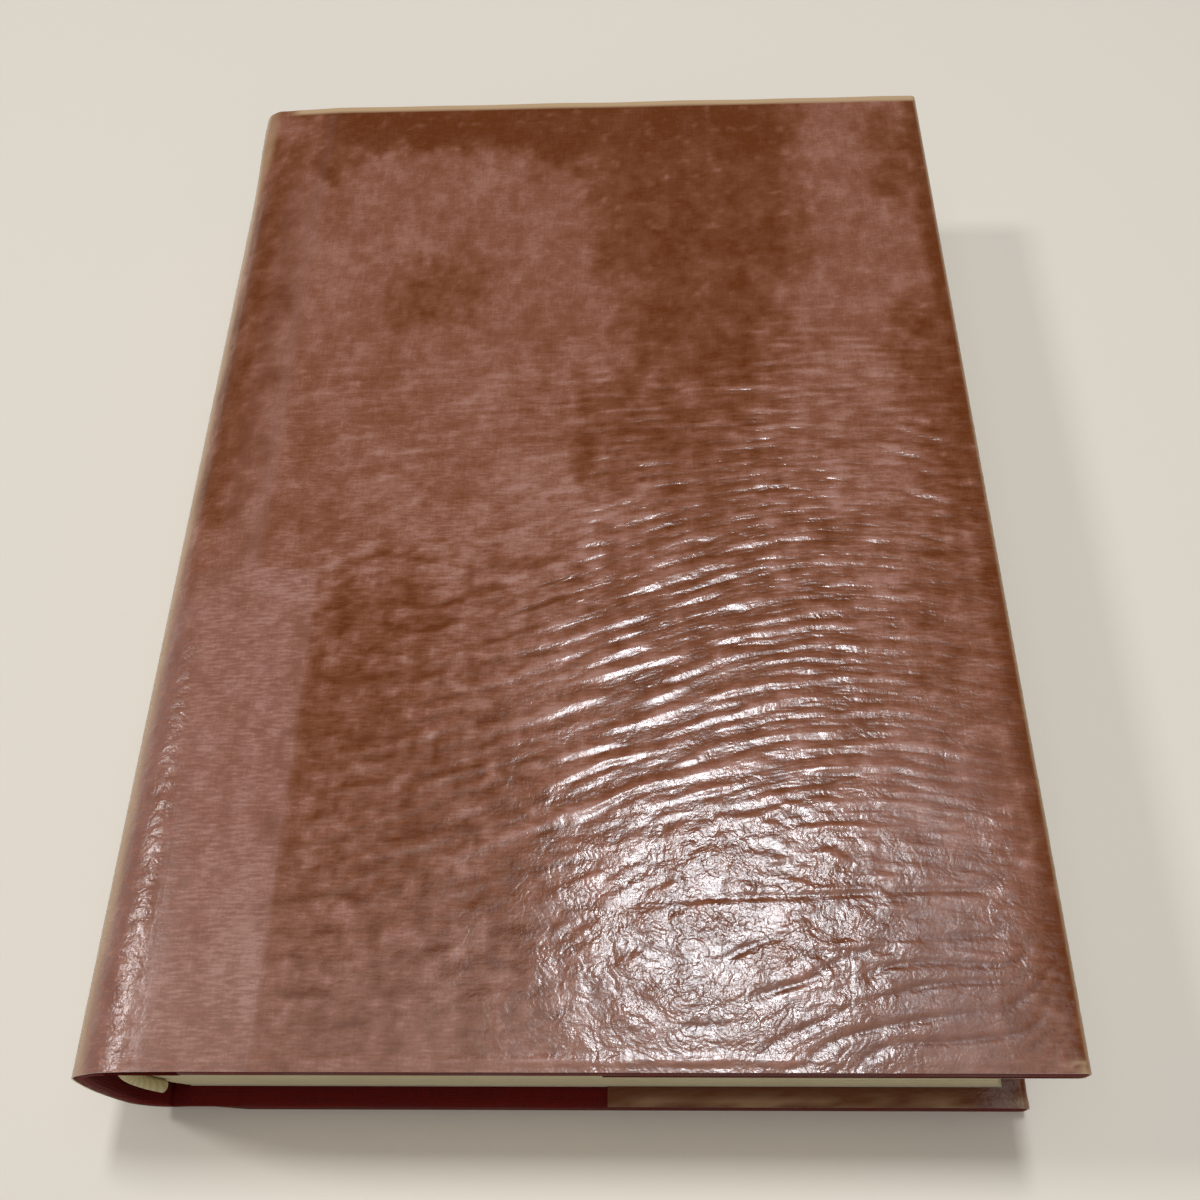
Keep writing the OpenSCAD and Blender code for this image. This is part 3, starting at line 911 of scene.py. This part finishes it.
def back_shape(u, y):
    """Heights, pulls and marks of the back half of the wrapper, which lies flat on the table."""
    on_board = ramp(u, -56, -50) * ramp(u, fore_u + 0.8, fore_u - 1)
    height = -0.1 * ramp(cloudy(u / 9, y / 4, 71), -0.3, 0.6) * on_board
    close = 0.35 + 0.35 * cloudy(u / 18, y / 18, 73) + 0.25 * noise(u / 3, y / 3, 74)
    close = close + ramp(u, fore_u + 0.5, fore_u + 3) * (1.1 + 0.5 * noise(u / 8, y / 2, 76))
    close, spine_sheen, flap, overhang, pull = shared_look(u, y, close, 75)
    corner = flap * patch(u, y, 66, 84, tail_y - 3, tail_y + 9, 3)
    height = height + 0.12 * corner * creases(u / 3, y / 2.4, 72)
    rubbed = flap * ramp(y, tail_y + 2.4, tail_y + 0.5) * ramp(cloudy(u / 7, y / 1.5, 77), -0.3, 0.35)
    # the spine's tan is painted grazing sheen; the overhang and the rubbed flap are bare sheet
    bare = np.maximum.reduce([overhang, spine_sheen, 0.5 * rubbed])
    milky = 0.05 * flap
    crinkled = 0.15 + 0.85 * corner
    return {"height": height, "pull": pull, "close": np.clip(close, -0.3, 1.2), "milky": milky,
            "bare": np.clip(bare, 0, 1), "crinkled": np.clip(crinkled, 0, 1), "rippled": 0.3,
            "across": y * MM, "stands": np.zeros_like(u), "free": np.zeros_like(u), "threads": 0.2}


wrapper_lower = wrapper_half("wrapper_lower_half", back_wrapper_line, True, back_shape, 0.85, 0.85)
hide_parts("wrapper_lower", "wrapper_spine")
bend_at_hinge(wrapper_lower)

# %% [markdown]
# Sheets with a thickness
#
# The cloth and the bands' tape are drawn as one open surface, the side that is seen. Their thickness is added
# by a copy that is moved inwards along the normals and turned round, with a strip between the two borders. It
# is what a Solidify modifier does, worked out here so that the sheet can be thinner where it is pressed.

# %% From a surface to a sheet


def thickened(points, quads, thickness, flat, marks):
    """A closed sheet: the surface, a copy moved inwards along its normals by thickness, and a rim."""
    used, numbers = np.unique(quads, return_inverse=True)
    quads = numbers.reshape(quads.shape)
    points, thickness, flat = points[used], np.broadcast_to(thickness, len(points))[used], flat[used]
    marks = {key: np.concatenate([value[used]] * 2) for key, value in marks.items()}
    corners = [points[quads[:, k]] for k in range(4)]
    face_normal = np.cross(corners[2] - corners[0], corners[3] - corners[1])
    normal = np.zeros_like(points)
    for k in range(4):
        np.add.at(normal, quads[:, k], face_normal)
    normal /= np.linalg.norm(normal, axis=1)[:, None]
    count = len(points)
    start, end = quads.ravel(), np.roll(quads, -1, axis=1).ravel()
    lone = ~np.isin(start * count + end, end * count + start)
    start, end = start[lone], end[lone]
    rim = np.column_stack([end, start, start + count, end + count])
    inside = quads[:, ::-1] + count
    points = np.vstack([points, points - thickness[:, None] * normal])
    return points, [quads, inside, rim], np.vstack([flat, flat]), marks


# %% [markdown]
# The cloth of the case
#
# Book cloth is glued over both boards and the spine, and turned in 15 mm all round. A layer above and a
# layer below with the same rows and columns make the shape: they are joined along the tail, the head and
# the fore edge, and the lower layer has a hole where the turn-ins end. Every edge is rounded by letting the
# layer sink towards it as a circle does.

# %% A cloth cover
turn_y = board_hi[1] - (head_y + tail_y) / 2 - turn_in
case_half_y = (head_y - tail_y) / 2
case_mid_y = (head_y + tail_y) / 2
turn_sx = board_hi[0] - spine_face - turn_in
spine_turned = 2 * cloth_t + card_t


def sink(distance, radius):
    """How far a rounded edge has fallen, distance inside the start of its curve: r - sqrt(r^2 - d^2)."""
    inside = np.clip(distance, 0, radius)
    return radius - np.sqrt(np.maximum(radius**2 - inside**2, 0))


def case_section():
    """The cloth's outer line and the inner point under each of its points."""
    spine = joined(spine_line(0, 90), slope_line(0), spacing=0.7)
    groove = np.vstack([
        arc(sx_board - cloth_t - groove_round, groove_z + groove_round, groove_round, -90, 0, 6),
        arc(lip_cx, lip_cz, case_round, 180, 90, 7)])
    top = np.linspace(lip_cx, sx_case_fore - case_round, 64)
    top = np.unique(np.append(top, turn_sx))
    edge = sx_case_fore - case_round + case_round * np.sin(np.radians(np.linspace(0, 90, 7)))
    line = np.vstack([
        spine,
        level_line(np.linspace(spine[-1, 0], groove[0, 0], 10)[1:-1], groove_z),
        groove,
        level_line(np.append(top[1:], edge[1:]), case_out)])
    normal = outward(line)
    inner = line - cloth_t * normal
    on_spine = line[:, 0] <= edge_cx + 1e-6
    inner[on_spine] = (line - spine_turned * normal)[on_spine]
    first, last = len(spine) + 8, len(spine) + 8 + len(groove) - 1
    beyond = np.arange(len(line)) >= len(spine)
    inner[beyond] = level_line(line[beyond, 0], turn_face)
    inner[first:last + 1, 0] = np.linspace(line[first, 0], line[last, 0], last + 1 - first)
    return line, inner


def case_rows():
    """Distances along the book, from the middle: round edges, turn-ins and coarse stretches between."""
    bend = case_half_y - case_round + case_round * np.sin(np.radians(np.linspace(0, 90, 7)))
    half = np.concatenate([np.linspace(0, turn_y, 14), np.linspace(turn_y, case_half_y - case_round, 14)[1:],
                           bend[1:]])
    return np.concatenate([-half[:0:-1], half])


def make_case_cloth(name, upside_down, cover, *nodes):
    """The cloth of one cover with its half of the spine."""
    outer, inner = case_section()
    rows = case_rows()
    depth = np.linalg.norm(outer - inner, axis=1)
    radius = np.minimum(case_round, depth / 2)
    fall = np.maximum(
        sink((np.abs(rows) - case_half_y + case_round)[:, None] * np.ones_like(radius), case_round)
        * radius / case_round,
        sink((outer[:, 0] - sx_case_fore + case_round)[None, :], case_round))
    share = (fall / depth)[..., None]
    upper = outer + share * (inner - outer)
    lower = inner + share * (outer - inner)
    layers = np.stack([upper, lower])
    points = in_frame(layers[..., 0], rows[:, None] + case_mid_y, layers[..., 1]).reshape(-1, 3)
    above, below, edges = slab_faces(len(rows), len(outer))
    row_mid, col_mid = (rows[:-1] + rows[1:]) / 2, (outer[:-1, 0] + outer[1:, 0]) / 2
    hole = (np.abs(row_mid) < turn_y)[:, None] & (col_mid < turn_sx)[None, :]
    quads = np.vstack([above, below[~hole.ravel()], *edges[:3]])
    flat = np.tile(grid_points(unrolled(outer), rows), (2, 1))
    pressed = (outer[:, 0] > edge_cx + 0.01) & (outer[:, 0] < sx_board - cloth_t)
    thin = np.where(pressed[None, :] & (np.abs(rows) > turn_y - 0.01)[:, None], cloth_t / 2, cloth_t).ravel()
    corner = (np.abs(rows)[:, None] - turn_y) - (outer[:, 0][None, :] - turn_sx)
    far = 9.0  # from a mitre, in millimetres
    mitre = np.concatenate([np.full(corner.size, far), np.clip(corner, -far, far).ravel()])
    sheet = thickened(points, quads, np.concatenate([thin, thin]), flat, {"mitre": mitre})
    piece = new_piece(name, *sheet, smooth_angle=35, turned=upside_down)
    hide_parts(*nodes)
    bend_at_hinge(piece)
    return piece


# %% [markdown]
# Book cloth
#
# The cloth is a plain weave, dyed through, with level threads that thicken here and there. Both patterns are
# in the bump and in the colour. A dark sunken line marks each mitre, where two turn-ins meet.

# %% The cloth material


def cloth_look(tree):
    """Dark red plain weave of about 22 threads to the centimetre, matt."""
    flat = own_flat(tree)
    woven, slub = weave(flat, 2200.0), threads(flat, 90.0, 1500.0)
    tone = woven * 0.55 + slub * 0.3 + flat.noise(60.0) * 0.25
    line = abs(mark(tree, "mitre")).spread(0.22, 0.08)
    colour = line.mix(tone.mix(srgb(62, 7, 3), srgb(114, 17, 10)), srgb(46, 8, 7))
    normal = line.bump(-0.2, Normal=slub.bump(0.03, Normal=woven.bump(0.07)))
    return matt(colour, slub.spread(0.0, 1.0, 0.62, 0.75), 0.16, normal)


red_cloth = make_material("red_cloth", cloth_look)
for half in (make_case_cloth("case_cloth_upper", False, "front_cover", "front_cloth", "spine_cloth"),
             make_case_cloth("case_cloth_lower", True, "back_cover", "lower_cloth", "spine_cloth")):
    half.data.materials.append(red_cloth)

# %% [markdown]
# The pages
#
# A page block is a stack of leaves, sewn in sections, rounded at the back and so hollow at the fore edge.
# One closed loop goes around the block at every level, and each leaf has two levels and its own small
# step in or out. The loops together are the four cut faces, and two flat caps close the stack.

# %% The page block
leaves, sections = 140, 9
leaf_step, section_step, edge_wave = 0.035, 0.05, 0.02
gap_share = 0.06  # of a leaf's pitch, above and below it
page_half_y = (page_hi[1] - page_lo[1]) / 2
page_mid_y = (page_hi[1] + page_lo[1]) / 2
back_sx = page_lo[0] - spine_face
fore_sx = page_hi[0] - spine_face
back_r = (page_top**2 + (sx_shoulder - back_sx)**2) / (2 * (sx_shoulder - back_sx))
fore_hollow = 2.8
fore_r = (page_top**2 + fore_hollow**2) / (2 * fore_hollow)


def make_pages():
    """Two loops of points for each leaf, closed by a cap above and below."""
    pick = np.random.default_rng(5)
    pitch = 2 * page_top / leaves
    start = -page_top + pitch * np.arange(leaves)
    level = np.column_stack([start + gap_share * pitch, start + (1 - gap_share) * pitch]).ravel()
    level[0], level[-1] = -page_top, page_top
    step = np.repeat(pick.uniform(-leaf_step, 0.0, leaves), 2)
    in_section = np.repeat((np.arange(leaves) % (leaves / sections)) / (leaves / sections), 2)
    step -= section_step * np.exp(-(np.minimum(in_section, 1 - in_section) / 0.05) ** 2)
    tone = np.repeat(pick.uniform(0, 1, leaves), 2)
    back = back_sx + back_r - np.sqrt(back_r**2 - level**2)
    fore = fore_sx - fore_hollow + fore_r - np.sqrt(fore_r**2 - level**2)
    across, up = np.linspace(0, 1, 72), np.linspace(-1, 1, 60)
    tail = np.stack(np.broadcast_arrays(across[None, :-1], -1.0), -1)[0]
    fore_side = np.stack(np.broadcast_arrays(1.0, up[:-1]), -1)
    head = np.stack(np.broadcast_arrays(across[:0:-1], 1.0), -1)
    back_side = np.stack(np.broadcast_arrays(0.0, up[:0:-4]), -1)
    loop = np.vstack([tail, fore_side, head, back_side])
    wave = noise(level[:, None] / 3, loop[None, :, 0] * 9 + loop[None, :, 1] * 5, 81) * edge_wave
    x = back[:, None] + (fore - back)[:, None] * loop[:, 0] + (step[:, None] + wave) * (loop[:, 0] > 0.999)
    y = page_mid_y + loop[:, 1] * (page_half_y + (step[:, None] + wave) * (np.abs(loop[:, 1]) > 0.999))
    points = in_frame(x, y, level[:, None])
    tones = np.broadcast_to(tone[:, None], x.shape).ravel()
    flat = grid_points(lengths(points[0, :, :2]), level)
    piece = new_piece("pages", points.reshape(-1, 3), tube_faces(*x.shape), flat, {"leaf": tones}, 50)
    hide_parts("text_block")
    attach(piece, "block")
    return piece


def page_look(tree):
    """Cream paper, each leaf a little lighter or darker, with fine fibres across."""
    flat = own_flat(tree)
    colour = mark(tree, "leaf").mix(srgb(206, 194, 156), srgb(224, 213, 178))
    colour = flat.noise(90.0).spread(0.45, 0.75, 0.0, 0.35).mix(colour, srgb(196, 180, 142))
    return matt(colour, 0.9, 0.2, flat.noise(3000.0, 2.0).bump(0.02))


make_pages().data.materials.append(make_material("page_paper", page_look))

# %% [markdown]
# Endpapers
#
# An endpaper is one folded sheet. One half is glued down inside the cover and sinks a little between the
# cloth's turn-ins, and the other half is the first leaf of the pages. The fold lies in the joint and is drawn
# round with many rows.

# %% A folded endpaper
fold_sx = sx_shoulder + 0.45
leaf_gap = 0.3
gauze_half_y = (gauze_hi[1] - gauze_lo[1]) / 2
gauze_sx = gauze_hi[0] - spine_face


def endpaper_lines():
    """The line of the sheet's side towards the gap, and its other side, from flyleaf to pastedown."""
    leaf_top = leaf_hi[2] - mid_z
    middle = leaf_top + leaf_gap / 2
    bend = np.concatenate([np.linspace(90, 22, 7), np.linspace(18, -18, 17), np.linspace(-22, -90, 7)])
    bend = np.radians(-bend)
    lines = []
    for radius in (leaf_gap / 2, leaf_gap / 2 + paper_t):
        flyleaf = level_line(np.linspace(fore_sx, fold_sx, 40)[:-1], middle - radius)
        fold = np.column_stack([fold_sx - radius * np.cos(bend), middle + radius * np.sin(bend)])
        x = np.unique(np.concatenate([np.linspace(fold_sx, fore_sx, 60)[1:], turn_sx + np.linspace(-1, 1, 7),
                                      gauze_sx + np.linspace(-1, 1, 7), sx_board + np.linspace(-1, 1.5, 8)]))
        lines.append(np.vstack([flyleaf, fold, level_line(x, middle + radius)]))
    return lines, len(flyleaf) + len(fold)


def make_endpaper(name, upside_down, cover, *nodes):
    """Both sides of the folded sheet on one grid, closed by a rim."""
    (gap_side, far_side), pasted_from = endpaper_lines()
    rows = np.concatenate([np.linspace(0, turn_y - 1.2, 16), turn_y + np.linspace(-1, 1, 7),
                           np.linspace(turn_y + 1.4, page_half_y, 6)])
    rows = np.unique(np.concatenate([rows, gauze_half_y + np.linspace(-0.6, 0.6, 5)]))
    rows = np.concatenate([-rows[:0:-1], rows])
    x, half = gap_side[:, 0][None, :], np.abs(rows)[:, None]
    sunk = cloth_t * ramp(x, sx_board - 0.6, sx_board + 0.6) * ramp(x, turn_sx + 0.6, turn_sx - 0.6)
    sunk = sunk * ramp(half, turn_y + 0.5, turn_y - 0.5)
    over_gauze = gauze_t * ramp(x, gauze_sx + 0.5, gauze_sx - 0.5)
    over_gauze = over_gauze * ramp(half, gauze_half_y + 0.4, gauze_half_y - 0.4)
    sunk = np.maximum(sunk - over_gauze, 0) * (np.arange(len(gap_side)) >= pasted_from)
    layers = np.stack([place(side, rows + page_mid_y) for side in (far_side, gap_side)])
    layers[..., 2] += sunk
    near, far, edges = slab_faces(len(rows), len(gap_side))
    points = layers.reshape(-1, 3)
    flat = np.tile(grid_points(lengths(gap_side), rows), (2, 1))
    piece = new_piece(name, points, [near, far, *edges], flat, turned=upside_down)
    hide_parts(*nodes)
    side = -1 if upside_down else 1
    low, high = (leaf_hi[2] - mid_z + 0.01), (leaf_hi[2] - mid_z + leaf_gap - 0.01)
    (mid_z + side * low) * MM
    (mid_z + side * high) * MM
    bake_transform(piece)
    return piece


def endpaper_look(tree):
    """Plain cream wove paper, slightly foxed."""
    flat = own_flat(tree)
    colour = flat.noise(45.0, 4.0).mix(srgb(214, 205, 178), srgb(228, 220, 196))
    foxed = flat.noise(210.0, 2.0).spread(0.70, 0.80, 0.0, 0.35)
    colour = foxed.mix(colour, srgb(190, 160, 112))
    return matt(colour, 0.85, 0.25, flat.noise(1400.0, 4.0, 0.6).bump(0.015))


endpaper_paper = make_material("endpaper", endpaper_look)
for sheet in (make_endpaper("front_endpaper", False, "front_cover", "front_flyleaf", "front_pastedown"),
              make_endpaper("back_endpaper", True, "back_cover", "back_flyleaf", "lower_pastedown")):
    sheet.data.materials.append(endpaper_paper)

# %% [markdown]
# Head and tail bands
#
# A band is a strip of woven tape with a rolled bead along one side, glued over the end of the rounded back.
# The bead shows between the pages and the hollow spine. It is a tube bent along the back, and its wound
# thread makes slanting ribs, which are part of the tube's radius.

# %% A band
band_d, band_tape, tape_t = 1.9, 9.0, 0.18
tape_columns = 12
ribs_per_degree, rib_slant, rib_depth = 3.6, 0.9, 0.015
mm_per_degree = 0.35  # along the rounded back
band_short = 8.5  # degrees by which each end stops short of the box of the band's solid
band_angle = math.degrees(math.asin((box_mm("tailband")[1][2] - mid_z) / (back_r + gauze_t))) - band_short
back_cx = back_sx + back_r


def make_band(node, side):
    """A ribbed tube along the back's arc, and the tape below it, side 1 at the head and -1 at the tail."""
    bead_r = back_r + gauze_t - band_d / 2
    turn = np.radians(180 + np.linspace(-band_angle, band_angle, 220))[:, None]
    around = np.linspace(0, 2 * np.pi, 25)[None, :-1]
    rib = np.abs(np.sin(np.degrees(turn) * ribs_per_degree + around * rib_slant))
    radius = band_d / 2 * (1 - rib_depth * (1 - rib))
    out = bead_r + radius * np.cos(around)
    y = page_mid_y + side * (page_half_y + band_d / 2 + radius * np.sin(around))
    bead = in_frame(back_cx + out * np.cos(turn), y, out * np.sin(turn))
    rows, count = bead.shape[:2]
    bead_faces, tape_quads = tube_faces(rows, count), grid_faces(rows, tape_columns, 0, side > 0)
    if side < 0:
        bead_faces = [part[:, ::-1] for part in bead_faces]
    tape_y = np.linspace(page_half_y - band_tape, page_half_y + band_d / 2, tape_columns)[None, :]
    tape_y = page_mid_y + side * tape_y
    tape_r = back_r + gauze_t
    tape = in_frame(back_cx + tape_r * np.cos(turn), tape_y, tape_r * np.sin(turn))
    flats = [np.stack(np.broadcast_arrays(np.degrees(turn) * mm_per_degree, v), -1).reshape(-1, 2)
             for v in (around * band_d / 2, tape_y)]
    tape_points, tape_faces, tape_flat, _ = thickened(tape.reshape(-1, 3), tape_quads, tape_t, flats[1], {})
    points = np.vstack([bead.reshape(-1, 3), tape_points])
    faces = [*bead_faces, *[part + rows * count for part in tape_faces]]
    piece = new_piece("band_" + node, points, faces, np.vstack([flats[0], tape_flat]))
    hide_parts(node)
    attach(piece, "block")
    return piece


def band_look(tree):
    """Cream thread with fine fibres along it, and painted shade that darkens it between its ribs."""
    flat = own_flat(tree)
    rib = Value(add(tree, "ShaderNodeTexWave", {"bands_direction": "DIAGONAL"}, Vector=flat, Scale=330.0,
                    Distortion=0.6).outputs[1])
    fibre = threads(flat, 900.0, 5200.0)
    # painted shade: the thread is darker between its ribs
    colour = (fibre * 0.3).mix(rib.mix(srgb(186, 172, 124), srgb(204, 192, 146)), srgb(228, 220, 190))
    return matt(colour, 0.8, 0.25, fibre.bump(0.02, Normal=rib.bump(0.02)))


band_thread = make_material("band_thread", band_look)
for node, side in (("headband", 1), ("tailband", -1)):
    make_band(node, side).data.materials.append(band_thread)

# %% [markdown]
# Inside the binding
#
# Boards, spine card, gauze and lining are rigid or hidden, so they stay the frame's own solids. They still
# get their real materials: grey-brown board of pressed waste paper, starched open gauze and brown lining.

# %% Board, gauze and lining


def board_look(tree):
    """Pressed pulp: flecks and fibres in grey-brown, with layers along the cut edges."""
    spot = object_place(tree)
    pulp = spot.noise(900.0, 5.0, 0.7)
    upright = value_of(tree, "ShaderNodeMapping", i0=spot, i2=(math.pi / 2, 0, 0))
    layer = threads(upright, 60.0, 3500.0)
    fleck = spot.noise(2400.0, 2.0).spread(0.66, 0.72, 0.0, 0.6)
    colour = (layer * 0.25).mix(pulp.mix(srgb(132, 117, 96), srgb(168, 152, 126)), srgb(104, 90, 72))
    return matt(fleck.mix(colour, srgb(86, 74, 60)), 0.92, 0.2, pulp.bump(0.05))


def gauze_look(tree):
    """Open plain weave of about 9 threads to the centimetre, dark glue between its threads."""
    thread = weave(object_place(tree), 900.0).spread(0.62, 0.82)
    return matt(thread.mix(srgb(150, 134, 104), srgb(212, 205, 184)), 0.85, 0.25, thread.bump(0.08))


def lining_look(tree):
    """Brown wrapping paper with fine ribs."""
    spot = object_place(tree)
    rib = threads(spot, 120.0, 1800.0)
    colour = spot.noise(700.0, 4.0, 0.6).mix(srgb(168, 146, 108), srgb(192, 172, 134))
    return matt((rib * 0.3).mix(colour, srgb(150, 126, 88)), 0.8, 0.3, rib.bump(0.02))


def dress(name, look, *nodes):
    """Gives CAD nodes a new material of this name and look."""
    material = make_material(name, look)
    for node in nodes:
        mesh = bpy.data.objects[node].data
        mesh.materials.clear()
        mesh.materials.append(material)


dress("binders_board", board_look, "front_board", "lower_board", "spine_card")
dress("gauze", gauze_look, "back_gauze", "front_gauze", "lower_gauze")
dress("lining_paper", lining_look, "back_lining")

# %% [markdown]
# The stage
#
# The floor is plain and pale. A lamp a little towards the head throws the highlight on the lower part of
# the cover and the short shadow at the tail. A second, from the left, gives the soft shadow on the right.
# A wide panel above, a weak one from the tail's side and the world fill the rest.

# %% Floor


def make_floor():
    """A wide flat floor just under the book."""
    size, level = 3000.0, -0.02
    points = np.array([[x * size, y * size, level] for x, y in ((-1, -1), (1, -1), (1, 1), (-1, 1))])
    floor = new_piece("floor", points, [np.array([[0, 1, 2, 3]])])
    paint = dict(Base_Color=srgb(236, 228, 215), Roughness=0.6, Specular_IOR_Level=0.2)
    floor.data.materials.append(make_material("floor_paint", lambda tree: paint))
    return floor


make_floor()

# %% Lamps


def stand(data, place, axes):
    """A lamp's or camera's object at a place in metres, with these directions as its own x, y and z."""
    thing = bpy.data.objects.new(data.name, data)
    turn = Matrix(np.column_stack(axes).tolist()).to_4x4()
    turn.translation = place
    thing.matrix_world = turn
    bpy.context.scene.collection.objects.link(thing)
    return thing


def area_lamp(name, aim, direction, distance, size, strength, colour=(1, 1, 1)):
    """A rectangular lamp at a distance from its aim, facing it. A strength of 1 would by itself show a
    colour as written on a surface that faces it: power = strength times (pi times distance) squared."""
    data = bpy.data.lights.new(name, "AREA")
    data.shape = "RECTANGLE"
    data.size, data.size_y = size
    data.energy = strength * (math.pi * distance) ** 2
    data.color = colour
    unit = np.array(direction) / np.linalg.norm(direction)
    side = np.cross([0, 1, 0], unit)
    side /= np.linalg.norm(side)
    return stand(data, np.array(aim) + unit * distance, (side, np.cross(unit, side), unit))


cover_middle = (0.024, -0.078, book_top * MM)
area_lamp("ceiling_lamp", cover_middle, (0.06, 0.25, 0.965), 1.3, (0.12, 0.23), 0.37, (0.91, 0.95, 1.0))
area_lamp("left_lamp", (0, 0, 0.02), (-0.64, 0.12, 0.74), 1.4, (0.17, 0.17), 0.23)
area_lamp("soft_panel", (0, 0, 0.03), (0.0, -0.14, 1.0), 1.3, (1.2, 0.9), 0.27)
area_lamp("back_fill", (0, 0, 0.02), (0.1, -0.80, 0.6), 1.6, (1.6, 0.7), 0.06)

# %% World
world = bpy.data.worlds.new("room")
bpy.context.scene.world = world
world.use_nodes = True
room = world.node_tree.nodes["Background"]
room.inputs["Color"].default_value = (1.0, 0.97, 0.93, 1.0)
room.inputs["Strength"].default_value = 0.13

# %% [markdown]
# The camera
#
# The photograph was taken with a phone held above the tail, looking down at about 60 degrees. The camera's
# place, its three angles and its focal length were fitted to the straight edges of the covers and pages.

# %% Camera
camera_place = np.array([10.69, -126.17, 209.63])
pitch, yaw, roll = math.radians(59.81), math.radians(-3.51), math.radians(-3.57)
focal_pixels, image_pixels = 1238.8, 1200

forward = np.array([math.sin(yaw) * math.cos(pitch), math.cos(yaw) * math.cos(pitch), -math.sin(pitch)])
level = np.array([math.cos(yaw), -math.sin(yaw), 0.0])
upward = np.cross(level, forward)
camera_x = math.cos(roll) * level + math.sin(roll) * upward
camera_y = -math.sin(roll) * level + math.cos(roll) * upward

lens = bpy.data.cameras.new("phone")
lens.sensor_width = 36.0
lens.lens = lens.sensor_width * focal_pixels / image_pixels
lens.clip_start, lens.clip_end = 0.01, 20
bpy.context.scene.camera = stand(lens, camera_place * MM, (camera_x, camera_y, -forward))
bpy.context.scene.view_settings.view_transform = "Standard"

# %% Updating the scene
bpy.context.view_layer.update()
